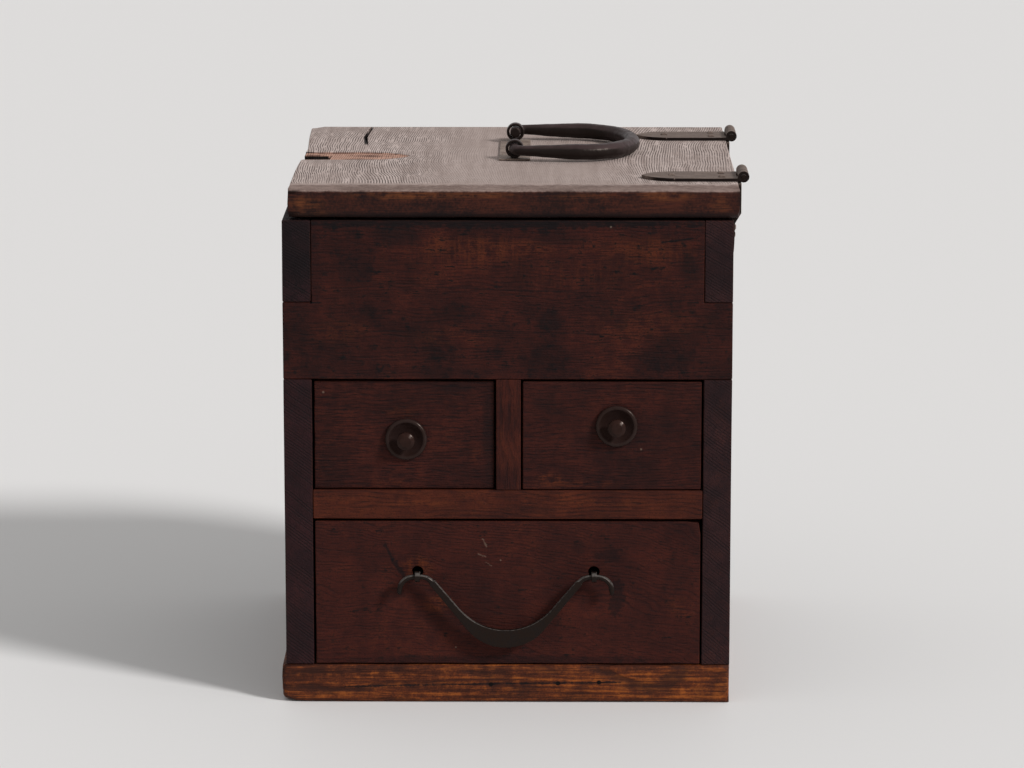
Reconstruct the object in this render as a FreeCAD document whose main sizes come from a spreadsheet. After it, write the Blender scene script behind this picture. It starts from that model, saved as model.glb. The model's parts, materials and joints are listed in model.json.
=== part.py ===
import FreeCAD, Part
import math
import os
import re
import Sketcher

# Old wooden money box: a coin well under a lid hinged at the right, two small drawers and a wide one.
# Millimetres. X runs to the right seen from the front, Y to the back, Z up.
# The origin is the middle of the underside of the base board.

os.makedirs("parts", exist_ok=True)
doc = FreeCAD.newDocument("MoneyBox")
sheet = doc.addObject("Spreadsheet::Sheet", "Sizes")
Vector = FreeCAD.Vector

SIZES = {
    # case boards
    "case_width": 188.0,
    "case_depth": 188.0,
    "board": 12.0,
    "base_thickness": 16.5,
    "base_overhang_left": 2.0,
    "base_overhang_front": 0.8,
    "base_edge_radius": 2.0,
    "large_opening": 63.3,
    "rail_height": 12.5,
    "small_opening": 47.5,
    "upper_front_height": 67.4,
    "finger_height": 34.7,
    "rail_depth": 18.0,
    "tenon_length": 6.0,
    "tenon_shoulder": 3.0,
    "shelf_thickness": 8.0,
    "housing_depth": 4.0,
    "floor_thickness": 9.0,
    "floor_lift": 4.0,
    "divider_width": 10.5,
    "divider_offset": 0.3,
    "divider_panel_thickness": 8.0,
    # square wooden pegs
    "base_peg": 4.0,
    "base_peg_bite": 16.0,
    "base_peg_inset": 30.0,
    "drawer_peg": 2.4,
    "drawer_peg_bite": 8.0,
    "peg_fit": 0.05,
    # lid
    "lid_thickness": 12.0,
    "lid_gap": 0.8,
    "lid_shift": 2.5,
    "lid_overhang": 1.0,
    "lipping_depth": 20.0,
    "lipping_lower_radius": 3.0,
    "lipping_upper_radius": 1.5,
    "tongue_length": 6.0,
    "tongue_thickness": 4.0,
    "tongue_room": 0.3,
    "hasp_length": 48.0,
    "hasp_width": 24.0,
    "hasp_point": 18.0,
    "hasp_depth": 0.8,
    "hasp_offset": 3.7,
    "notch_length": 12.0,
    "notch_width": 12.0,
    "notch_depth": 4.0,
    "split_inset": 26.8,
    "split_length": 64.0,
    "split_width": 1.6,
    "split_depth": 7.0,
    # hinges
    "hinge_inset": 33.5,
    "hinge_width": 20.0,
    "hinge_rise": 2.0,
    "strap_length": 42.7,
    "strap_point": 15.0,
    "leaf_thickness": 1.4,
    "leaf_gap": 0.2,
    "barrel_radius": 2.4,
    "middle_knuckle": 7.4,
    "knuckle_gap": 0.3,
    "hinge_pin_radius": 1.1,
    "hinge_pin_fit": 0.05,
    "joggle_height": 6.0,
    "side_leaf_drop": 34.0,
    "side_leaf_point": 13.0,
    "nail_shank": 1.5,
    "nail_length": 9.0,
    "nail_fit": 0.05,
    "nail_head": 3.2,
    "nail_tip": 1.4,
    "nail_head_height": 0.7,
    "nail_near": 9.0,
    "nail_far": 30.0,
    "nail_spread": 10.0,
    "side_nail_near": 22.0,
    "side_nail_far": 26.0,
    # lid handle
    "handle_x": 2.2,
    "handle_offset": 19.0,
    "plate_end": 4.5,
    "plate_width": 13.6,
    "plate_thickness": 0.8,
    "eye_spacing": 52.0,
    "eye_width": 4.0,
    "eye_strip": 1.3,
    "eye_leg": 10.0,
    "slot_fit": 0.1,
    "handle_pin_room": 0.3,
    "handle_shoulder": 7.0,
    "handle_reach": 51.5,
    "handle_corner": 4.2,
    "handle_bend": 22.0,
    "handle_end_radius": 2.4,
    "handle_grip_radius": 3.6,
    "handle_rest_gap": 0.25,
    # drawers
    "drawer_play": 0.7,
    "drawer_lift": 0.3,
    "drawer_headroom": 0.9,
    "drawer_front": 12.0,
    "drawer_lap": 6.0,
    "drawer_side": 8.0,
    "drawer_bottom": 5.0,
    "drawer_side_drop": 2.0,
    "drawer_rear_gap": 6.0,
    "left_drawer_inset": 1.6,
    "right_drawer_inset": 0.2,
    "large_drawer_inset": 0.2,
    # drawer knobs
    "left_knob_shift": 0.8,
    "left_knob_rise": -2.0,
    "right_knob_shift": 1.9,
    "right_knob_rise": 4.0,
    "rosette_radius": 8.9,
    "rosette_rim": 2.4,
    "rosette_roll": 2.0,
    "rosette_dish": 0.6,
    "stud_shank_radius": 1.3,
    "stud_neck_radius": 2.1,
    "stud_neck": 3.2,
    "stud_head_radius": 3.7,
    "stud_head": 1.9,
    "stud_dome": 1.0,
    "stud_crown_radius": 2.2,
    "stud_strip": 1.2,
    "stud_leg": 9.0,
    "stud_fit": 0.1,
    # drop handle of the large drawer
    "bail_shift": -0.8,
    "bail_rise": 39.5,
    "bail_standoff": 5.0,
    "bail_spacing": 74.4,
    "bail_drop": 26.8,
    "bail_wire": 2.5,
    "bail_strap": 7.7,
    "bail_strap_thickness": 2.2,
    "bail_shoulder": 2.8,
    "bail_crest": 6.0,
    "bail_pin_room": 0.25,
    "bail_tail_bend": 6.2,
    "bail_tail": 1.6,
    "eyelet_strip": 0.8,
    "eyelet_width": 2.2,
    "eyelet_leg": 8.0,
    "eyelet_hole_radius": 2.4,
    "eyelet_hole_rise": 1.0,
}

for row, (alias, value) in enumerate(SIZES.items(), start=1):
    sheet.set(f"A{row}", alias.replace("_", " "))
    sheet.set(f"B{row}", str(value))
    sheet.setAlias(f"B{row}", alias)
doc.recompute()

# Counts and angles that the design keeps whatever its sizes
BACK_FINGERS = 6
BEND_ANGLE = math.radians(60)
BAIL_SLOPE = math.radians(51)
BAIL_INNER_SLOPE = math.radians(50)
TAIL_TAPER = 0.5
FORGED_FLATS = 8
FORGED_SHARE = 0.97
PEG_SHARES = (0.25, 0.75)


def formula(text):
    """Turn the plain size names in a formula into references to the sheet."""
    return re.sub(r"[a-z_]+", lambda word: f"Sizes.{word[0]}" if word[0] in SIZES else word[0], text)


def number(text):
    """The present value of a formula."""
    return float(sheet.evalExpression(formula(text)))


# Levels and faces that several pieces share, as formulas on the sheet
LEFT = "(-case_width / 2)"
RIGHT = "(case_width / 2)"
FRONT = "(-case_depth / 2)"
BACK = "(case_depth / 2)"
INNER_LEFT = f"({LEFT} + board)"
INNER_RIGHT = f"({RIGHT} - board)"
INNER_FRONT = f"({FRONT} + board)"
INNER_BACK = f"({BACK} - board)"
HOUSED = (f"({INNER_LEFT} - housing_depth)", f"({INNER_RIGHT} + housing_depth)")
RAIL_BACK = f"({FRONT} + rail_depth)"
BASE_TOP = "base_thickness"
RAIL_BOTTOM = f"({BASE_TOP} + large_opening)"
RAIL_TOP = f"({RAIL_BOTTOM} + rail_height)"
SHELF_BOTTOM = f"({RAIL_TOP} - shelf_thickness)"
WALL_BOTTOM = f"({RAIL_TOP} + small_opening)"
CASE_TOP = f"({WALL_BOTTOM} + upper_front_height)"
FINGER_STEP = f"({CASE_TOP} - finger_height)"
FLOOR_BOTTOM = f"({WALL_BOTTOM} + floor_lift)"
FLOOR_TOP = f"({FLOOR_BOTTOM} + floor_thickness)"
DIVIDER_LEFT = "(divider_offset - divider_width / 2)"
DIVIDER_RIGHT = "(divider_offset + divider_width / 2)"
LID_BOTTOM = f"({CASE_TOP} + lid_gap)"
LID_TOP = f"({LID_BOTTOM} + lid_thickness)"
LID_LEFT = f"({LEFT} + lid_shift)"
LID_RIGHT = f"({RIGHT} + lid_shift)"
LID_FRONT = f"({FRONT} - lid_overhang)"
LID_BACK = f"({BACK} + lid_overhang)"
LID_JOIN = f"({LID_FRONT} + lipping_depth)"
TONGUE_BOTTOM = f"({LID_BOTTOM} + (lid_thickness - tongue_thickness) / 2)"
TONGUE_TOP = f"({TONGUE_BOTTOM} + tongue_thickness)"
HINGE_X = f"({LID_RIGHT} + barrel_radius)"
HINGE_Z = f"({LID_TOP} + hinge_rise)"
HINGE_CENTRES = {
    "front": f"({FRONT} + hinge_inset)",
    "rear": f"({BACK} - hinge_inset)",
}
EYE_RADIUS = "(handle_end_radius + handle_pin_room + eye_strip)"
HANDLE_Z = f"({LID_TOP} + plate_thickness + {EYE_RADIUS})"
HANDLE_EYES = {
    "front": "(handle_offset - eye_spacing / 2)",
    "rear": "(handle_offset + eye_spacing / 2)",
}

NODES = []


def node(made, label):
    """Name a finished piece and keep it for the export."""
    made.Label = label
    NODES.append(made)
    return made


def place(made, x="0", y="0", z="0"):
    """Bind where an object stands."""
    for axis, text in zip("xyz", (x, y, z)):
        made.setExpression(f"Placement.Base.{axis}", formula(text))


def block(name, x, y, z):
    """A plain board between its low and high faces along each axis."""
    made = doc.addObject("Part::Box", name)
    for side, (low, high) in zip(("Length", "Width", "Height"), (x, y, z)):
        made.setExpression(side, formula(f"{high} - ({low})"))
    place(made, x[0], y[0], z[0])
    return made


def rod(name, start, radius, length):
    """A round rod that runs to the back from its start point."""
    made = doc.addObject("Part::Cylinder", name)
    made.Placement = FreeCAD.Placement(Vector(), FreeCAD.Rotation(Vector(1, 0, 0), -90))
    made.setExpression("Radius", formula(radius))
    made.setExpression("Height", formula(length))
    place(made, *start)
    return made


def stick(name, axis, start, half, length):
    """A square stick that runs along an axis from its start point, to the low side for a minus sign."""
    ends = {"low": "0", "high": length} if axis[0] != "-" else {"low": f"-({length})", "high": "0"}
    spans = []
    for letter, middle in zip("XYZ", start):
        if letter == axis[-1]:
            spans.append((f"{middle} + {ends['low']}", f"{middle} + {ends['high']}"))
        else:
            spans.append((f"{middle} - ({half})", f"{middle} + ({half})"))
    return block(name, *spans)


def group(name, pieces):
    """Separate solids kept together as one object."""
    made = doc.addObject("Part::Compound", name)
    made.Links = pieces
    return made


def cut(name, base, tool):
    """What is left of a piece after a tool has passed through it."""
    made = doc.addObject("Part::Cut", name)
    made.Base = base
    made.Tool = tool
    return made


def plane_sketch(body, plane, offset, name):
    """An empty sketch on one of the body's own planes, moved along that plane's normal."""
    sketch = body.newObject("Sketcher::SketchObject", name)
    support = next(item for item in body.Origin.OriginFeatures if item.Role == plane)
    sketch.AttachmentSupport = [(support, "")]
    sketch.MapMode = "FlatFace"
    sketch.setExpression("AttachmentOffset.Base.z", formula(offset))
    return sketch


def locate(sketch, geometry, point, corner):
    """Fix a point of the sketch at a corner given by two formulas."""
    for kind, text in zip(("DistanceX", "DistanceY"), corner):
        if text is None:
            continue
        index = sketch.addConstraint(Sketcher.Constraint(kind, -1, 1, geometry, point, number(text)))
        sketch.setExpression(f"Constraints[{index}]", formula(text))


def arc_centre(start, end, centre_x, centre_y):
    """Centre of the arc between two points when one of its coordinates is known."""
    middle = (start + end) / 2
    across = end - start
    if centre_x is not None:
        return Vector(centre_x, middle.y - (centre_x - middle.x) * across.x / across.y)
    return Vector(middle.x - (centre_y - middle.y) * across.y / across.x, centre_y)


def draw_loop(sketch, corners, arcs=None):
    """A closed outline through the corners.

    Each side is a line. A side listed in arcs bulges outwards as an arc instead, and its entry gives one
    coordinate of the arc's centre. The corners run anticlockwise.
    """
    arcs = arcs or {}
    points = [Vector(number(x), number(y)) for x, y in corners]
    first = sketch.GeometryCount
    count = len(points)
    for side in range(count):
        start = points[side]
        end = points[(side + 1) % count]
        if side not in arcs:
            sketch.addGeometry(Part.LineSegment(start, end))
            continue
        x_text, y_text = arcs[side]
        centre_x = None if x_text is None else number(x_text)
        centre_y = None if y_text is None else number(y_text)
        centre = arc_centre(start, end, centre_x, centre_y)
        begin = math.atan2(start.y - centre.y, start.x - centre.x)
        finish = math.atan2(end.y - centre.y, end.x - centre.x)
        if finish < begin:
            finish += 2 * math.pi
        circle = Part.Circle(centre, Vector(0, 0, 1), (start - centre).Length)
        sketch.addGeometry(Part.ArcOfCircle(circle, begin, finish))
    for side in range(count):
        following = first + (side + 1) % count
        sketch.addConstraint(Sketcher.Constraint("Coincident", first + side, 2, following, 1))
    for side, corner in enumerate(corners):
        locate(sketch, first + side, 1, corner)
        if side in arcs:
            locate(sketch, first + side, 3, arcs[side])


def draw_circle(sketch, centre, radius):
    """A circle with its centre and radius bound to formulas."""
    middle = Vector(number(centre[0]), number(centre[1]))
    index = sketch.addGeometry(Part.Circle(middle, Vector(0, 0, 1), number(radius)))
    locate(sketch, index, 3, centre)
    constraint = sketch.addConstraint(Sketcher.Constraint("Radius", index, number(radius)))
    sketch.setExpression(f"Constraints[{constraint}]", formula(radius))


def rectangle(low_x, high_x, low_y, high_y):
    """Corners of a rectangle, anticlockwise."""
    return [(low_x, low_y), (high_x, low_y), (high_x, high_y), (low_x, high_y)]


def pad(body, plane, offset, length, loops, circles=(), reverse=False):
    """Raise outlines from a plane of the body."""
    sketch = plane_sketch(body, plane, offset, f"{body.Name}_outline")
    for loop in loops:
        draw_loop(sketch, *loop)
    for centre, radius in circles:
        draw_circle(sketch, centre, radius)
    made = body.newObject("PartDesign::Pad", f"{body.Name}_pad")
    made.Profile = sketch
    made.Reversed = reverse
    made.setExpression("Length", formula(length))
    body.Tip = made
    return made


def pocket(body, plane, offset, length, loops, circles=(), reverse=False):
    """Sink outlines into the body, against the plane's normal unless reversed."""
    sketch = plane_sketch(body, plane, offset, f"{body.Name}_cut_outline")
    for loop in loops:
        draw_loop(sketch, *loop)
    for centre, radius in circles:
        draw_circle(sketch, centre, radius)
    doc.recompute()
    made = body.newObject("PartDesign::Pocket", f"{body.Name}_pocket")
    made.Profile = sketch
    made.Reversed = reverse
    made.setExpression("Length", formula(length))
    body.Tip = made
    return made


def round_edges(body, chosen, radius):
    """Fillet the edges of the body's present shape for which the test holds at the edge's middle."""
    doc.recompute()
    base = body.Tip
    names = []
    for index, edge in enumerate(base.Shape.Edges, start=1):
        middle = edge.valueAt((edge.FirstParameter + edge.LastParameter) / 2)
        if chosen(middle, edge):
            names.append(f"Edge{index}")
    made = body.newObject("PartDesign::Fillet", f"{body.Name}_fillet")
    made.Base = (base, names)
    made.setExpression("Radius", formula(radius))
    body.Tip = made
    return made


def new_body(name):
    return doc.addObject("PartDesign::Body", name)


def near(value, text):
    return abs(value - number(text)) < 1e-4


# Pegs that come up through the base board into the sides and the back
SIDE_MIDDLES = (f"({LEFT} + board / 2)", f"({RIGHT} - board / 2)")
BASE_PEG_PLACES = [
    (x, y) for x in SIDE_MIDDLES for y in (f"{FRONT} + base_peg_inset", f"{BACK} - base_peg_inset")
]
BASE_PEG_PLACES += [
    (x, f"{BACK} - board / 2") for x in (f"{LEFT} + 2 * base_peg_inset", f"{RIGHT} - 2 * base_peg_inset")
]
BASE_PEG_LENGTH = "base_thickness + base_peg_bite"
base_pegs = [
    stick(f"base_peg_{i}", "Z", (x, y, "0"), "base_peg / 2", BASE_PEG_LENGTH)
    for i, (x, y) in enumerate(BASE_PEG_PLACES)
]
base_peg_holes = group(
    "base_peg_holes",
    [
        stick(f"base_hole_{i}", "Z", (x, y, "0"), "base_peg / 2 + peg_fit", BASE_PEG_LENGTH)
        for i, (x, y) in enumerate(BASE_PEG_PLACES)
    ],
)
node(group("base_peg_group", base_pegs), "base_pegs")


def base_board():
    body = new_body("base_blank")
    outline = rectangle(f"{LEFT} - base_overhang_left", RIGHT, f"{FRONT} - base_overhang_front", BACK)
    pad(body, "XY_Plane", "0", "base_thickness", [(outline,)])

    def worn(middle, edge):
        at_front = near(middle.y, f"{FRONT} - base_overhang_front")
        at_left = near(middle.x, f"{LEFT} - base_overhang_left")
        return (at_front or at_left) and not near(middle.y, BACK)

    round_edges(body, worn, "base_edge_radius")
    node(cut("base_drilled", body, base_peg_holes), "base_board")


base_board()

FINGER_LEVELS = [
    f"({BASE_TOP} + ({CASE_TOP} - {BASE_TOP}) * {i} / {BACK_FINGERS})" for i in range(BACK_FINGERS + 1)
]


def finger_edge(tall, short, tall_fingers):
    """Corners up a jointed edge: the board's own fingers reach tall, the gaps stop at short."""
    corners = []
    for i in range(BACK_FINGERS):
        reach = tall if i % 2 == tall_fingers else short
        corners.append((reach, FINGER_LEVELS[i]))
        corners.append((reach, FINGER_LEVELS[i + 1]))
    return corners


# Nails of the hinges are placed here because the boards under the leaves are drilled for them
def nail(name, axis, head, start):
    """A forged nail: a square shank under a low four-sided head. The shank starts under the head."""
    cap = doc.addObject("Part::Wedge", f"{name}_head")
    for side in ("X", "Z"):
        cap.setExpression(f"{side}min", formula("-nail_head / 2"))
        cap.setExpression(f"{side}max", formula("nail_head / 2"))
        cap.setExpression(f"{side}2min", formula("-nail_tip / 2"))
        cap.setExpression(f"{side}2max", formula("nail_tip / 2"))
    cap.Ymin = 0
    cap.setExpression("Ymax", formula("nail_head_height"))
    cap.Placement = FreeCAD.Placement(Vector(), head)
    place(cap, *start)
    shank = stick(f"{name}_shank", axis, start, "nail_shank / 2", "nail_length")
    made = doc.addObject("Part::Fuse", name)
    made.Base = cap
    made.Tool = shank
    return made


HEAD_UP = FreeCAD.Rotation(Vector(1, 0, 0), 90)
HEAD_RIGHT = FreeCAD.Rotation(Vector(0, 0, 1), -90)


def nail_places(centre):
    """Across and along positions of the three nails of a leaf: two near the barrel and one at the point."""
    return [
        (f"{centre} - nail_spread / 2", "near"),
        (f"{centre} + nail_spread / 2", "near"),
        (centre, "far"),
    ]


lid_nails = []
lid_nail_holes = []
side_nails = []
side_nail_holes = []
for end, centre in HINGE_CENTRES.items():
    for i, (across, along) in enumerate(nail_places(centre)):
        lid_start = (f"{HINGE_X} - nail_{along}", across, f"{LID_TOP} + leaf_thickness")
        side_start = (f"{RIGHT} + leaf_thickness", across, f"{HINGE_Z} - side_nail_{along}")
        lid_nails.append(nail(f"lid_nail_{end}_{i}", "-Z", HEAD_UP, lid_start))
        side_nails.append(nail(f"side_nail_{end}_{i}", "-X", HEAD_RIGHT, side_start))
        hole = "nail_shank / 2 + nail_fit"
        lid_nail_holes.append(stick(f"lid_nail_hole_{end}_{i}", "-Z", lid_start, hole, "nail_length"))
        side_nail_holes.append(stick(f"side_nail_hole_{end}_{i}", "-X", side_start, hole, "nail_length"))
lid_nail_holes = group("lid_nail_holes", lid_nail_holes)
side_nail_holes = group("side_nail_holes", side_nail_holes)
node(group("lid_nail_group", lid_nails), "hinge_lid_nails")
node(group("side_nail_group", side_nails), "hinge_side_nails")


def rail_tenon():
    """Section of the tenons that hold the front rail in the sides."""
    return rectangle(
        f"{FRONT} + tenon_shoulder",
        f"{RAIL_BACK} - tenon_shoulder",
        f"{RAIL_BOTTOM} + tenon_shoulder",
        f"{RAIL_TOP} - tenon_shoulder",
    )


def side_board(label, outer, inner, reverse):
    """A side of the case, with the finger joints at its front and back and the housings inside."""
    body = new_body(f"{label}_blank")
    corners = finger_edge(BACK, INNER_BACK, 1)
    corners += [
        (FRONT, CASE_TOP),
        (FRONT, FINGER_STEP),
        (INNER_FRONT, FINGER_STEP),
        (INNER_FRONT, WALL_BOTTOM),
        (FRONT, WALL_BOTTOM),
        (FRONT, BASE_TOP),
    ]
    pad(body, "YZ_Plane", outer, "board", [(corners,)], reverse=reverse)
    shelf = rectangle(RAIL_BACK, INNER_BACK, SHELF_BOTTOM, RAIL_TOP)
    floor = rectangle(INNER_FRONT, INNER_BACK, FLOOR_BOTTOM, FLOOR_TOP)
    pocket(body, "YZ_Plane", inner, "housing_depth", [(shelf,), (floor,)], reverse=reverse)
    pocket(body, "YZ_Plane", inner, "tenon_length", [(rail_tenon(),)], reverse=reverse)
    return body


left_blank = side_board("left_side", LEFT, INNER_LEFT, False)
right_blank = side_board("right_side", RIGHT, INNER_RIGHT, True)
node(cut("left_side_drilled", left_blank, base_peg_holes), "left_side")
right_pegged = cut("right_side_pegged", right_blank, base_peg_holes)
node(cut("right_side_drilled", right_pegged, side_nail_holes), "right_side")


def back_board():
    body = new_body("back_blank")
    corners = finger_edge(RIGHT, INNER_RIGHT, 0)
    corners += reversed(finger_edge(LEFT, INNER_LEFT, 0))
    pad(body, "XZ_Plane", f"-{BACK}", "board", [(corners,)])
    node(cut("back_drilled", body, base_peg_holes), "back_board")


back_board()


def post_tenon():
    """Plan of the tenons that hold the divider post in the rail and in the upper front board."""
    return rectangle(
        f"{DIVIDER_LEFT} + tenon_shoulder",
        f"{DIVIDER_RIGHT} - tenon_shoulder",
        f"{FRONT} + tenon_shoulder",
        f"{INNER_FRONT} - tenon_shoulder",
    )


def upper_front():
    """The board in front of the coin well: full width below the step of its finger joints."""
    body = new_body("upper_front_body")
    corners = [
        (LEFT, WALL_BOTTOM),
        (RIGHT, WALL_BOTTOM),
        (RIGHT, FINGER_STEP),
        (INNER_RIGHT, FINGER_STEP),
        (INNER_RIGHT, CASE_TOP),
        (INNER_LEFT, CASE_TOP),
        (INNER_LEFT, FINGER_STEP),
        (LEFT, FINGER_STEP),
    ]
    pad(body, "XZ_Plane", f"-{INNER_FRONT}", "board", [(corners,)])
    groove = rectangle(*HOUSED, FLOOR_BOTTOM, FLOOR_TOP)
    pocket(body, "XZ_Plane", f"-{INNER_FRONT}", "housing_depth", [(groove,)], reverse=True)
    pocket(body, "XY_Plane", WALL_BOTTOM, "tenon_length", [(post_tenon(),)], reverse=True)
    node(body, "upper_front")


upper_front()


def front_rail():
    body = new_body("front_rail_body")
    section = rectangle(FRONT, RAIL_BACK, RAIL_BOTTOM, RAIL_TOP)
    inner_width = f"{INNER_RIGHT} - {INNER_LEFT}"
    whole_width = f"{inner_width} + 2 * tenon_length"
    pad(body, "YZ_Plane", INNER_LEFT, inner_width, [(section,)])
    pad(body, "YZ_Plane", f"{INNER_LEFT} - tenon_length", whole_width, [(rail_tenon(),)])
    pocket(body, "XY_Plane", RAIL_TOP, "tenon_length", [(post_tenon(),)])
    node(body, "front_rail")


front_rail()


def divider_post():
    body = new_body("divider_post_body")
    section = rectangle(DIVIDER_LEFT, DIVIDER_RIGHT, FRONT, RAIL_BACK)
    pad(body, "XY_Plane", RAIL_TOP, "small_opening", [(section,)])
    whole_height = "small_opening + 2 * tenon_length"
    pad(body, "XY_Plane", f"{RAIL_TOP} - tenon_length", whole_height, [(post_tenon(),)])
    node(body, "divider_post")


divider_post()

# Boards inside the case, let into the housings of the sides and the front
FLOOR_LENGTH = (f"{INNER_FRONT} - housing_depth", INNER_BACK)
SHELF_LENGTH = (RAIL_BACK, INNER_BACK)
PANEL = ("divider_offset - divider_panel_thickness / 2", "divider_offset + divider_panel_thickness / 2")
node(block("floor", HOUSED, FLOOR_LENGTH, (FLOOR_BOTTOM, FLOOR_TOP)), "coin_well_floor")
node(block("shelf", HOUSED, SHELF_LENGTH, (SHELF_BOTTOM, RAIL_TOP)), "shelf_panel")
node(block("panel", PANEL, SHELF_LENGTH, (RAIL_TOP, FLOOR_BOTTOM)), "divider_panel")


def ogive(length, width, point):
    """A strap along X from the origin that ends in a pointed arch."""
    corners = [
        ("0", f"-({width}) / 2"),
        (f"{length} - {point}", f"-({width}) / 2"),
        (length, "0"),
        (f"{length} - {point}", f"({width}) / 2"),
        ("0", f"({width}) / 2"),
    ]
    shoulder = (f"{length} - {point}", None)
    return corners, {1: shoulder, 2: shoulder}


def moved(loop, x, y, mirror=False):
    """The same outline set at another place, or turned half a turn about its own origin first."""
    corners, arcs = loop
    sign = "-" if mirror else ""
    turned = [(f"{x} + {sign}({u})", f"{y} + {sign}({v})") for u, v in corners]
    shifted = {}
    for side, (u, v) in arcs.items():
        shifted[side] = (
            None if u is None else f"{x} + {sign}({u})",
            None if v is None else f"{y} + {sign}({v})",
        )
    return turned, shifted


def eye_slots():
    """Slots in the lid and the plate for the legs of the two handle eyes."""
    half = "(eye_strip + slot_fit)"
    reach = "(eye_width / 2 + slot_fit)"
    across = (f"handle_x - {half}", f"handle_x + {half}")
    slots = []
    for centre in HANDLE_EYES.values():
        slots.append((rectangle(*across, f"{centre} - {reach}", f"{centre} + {reach}"),))
    return slots


def lid_board():
    """The main board of the lid, with the empty bed of the lost hasp and the split behind it."""
    body = new_body("lid_blank")
    outline = rectangle(LID_LEFT, LID_RIGHT, LID_JOIN, LID_BACK)
    pad(body, "XY_Plane", LID_BOTTOM, "lid_thickness", [(outline,)])
    tongue = rectangle(LID_LEFT, LID_RIGHT, f"{LID_JOIN} - tongue_length", f"{LID_JOIN} + tongue_length")
    pad(body, "XY_Plane", TONGUE_BOTTOM, "tongue_thickness", [(tongue,)])
    bed = moved(ogive("hasp_length", "hasp_width", "hasp_point"), LID_LEFT, "hasp_offset")
    pocket(body, "XY_Plane", LID_TOP, "hasp_depth", [bed])
    notch = rectangle(
        LID_LEFT,
        f"{LID_LEFT} + notch_length",
        "hasp_offset - notch_width / 2",
        "hasp_offset + notch_width / 2",
    )
    pocket(body, "XY_Plane", LID_TOP, "notch_depth", [(notch,)])
    split_x = f"({LID_LEFT} + split_inset)"
    split = [
        (f"{split_x} - split_width", f"{LID_BACK} - split_length / 2"),
        (f"{split_x} + split_width / 2", f"{LID_BACK} - split_length"),
        (f"{split_x} - split_width / 3", f"{LID_BACK} - split_length / 2"),
        (f"{split_x} + split_width", LID_BACK),
        (split_x, LID_BACK),
    ]
    pocket(body, "XY_Plane", LID_TOP, "split_depth", [(split,)])
    pocket(body, "XY_Plane", LID_TOP, "lid_thickness", eye_slots())
    node(cut("lid_drilled", body, lid_nail_holes), "lid_board")


lid_board()


def lid_front_lipping():
    """The cross-grained strip along the front of the lid, grooved for the board's tongue."""
    body = new_body("lipping_body")
    groove_end = f"{LID_JOIN} - tongue_length - tongue_room"
    section = [
        (LID_FRONT, LID_BOTTOM),
        (LID_JOIN, LID_BOTTOM),
        (LID_JOIN, TONGUE_BOTTOM),
        (groove_end, TONGUE_BOTTOM),
        (groove_end, TONGUE_TOP),
        (LID_JOIN, TONGUE_TOP),
        (LID_JOIN, LID_TOP),
        (LID_FRONT, LID_TOP),
    ]
    pad(body, "YZ_Plane", LID_LEFT, f"{LID_RIGHT} - {LID_LEFT}", [(section,)])
    round_edges(
        body, lambda p, edge: near(p.y, LID_FRONT) and near(p.z, LID_BOTTOM), "lipping_lower_radius"
    )
    round_edges(
        body, lambda p, edge: near(p.y, LID_FRONT) and near(p.z, LID_TOP), "lipping_upper_radius"
    )
    node(body, "lid_front_lipping")


lid_front_lipping()


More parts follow.
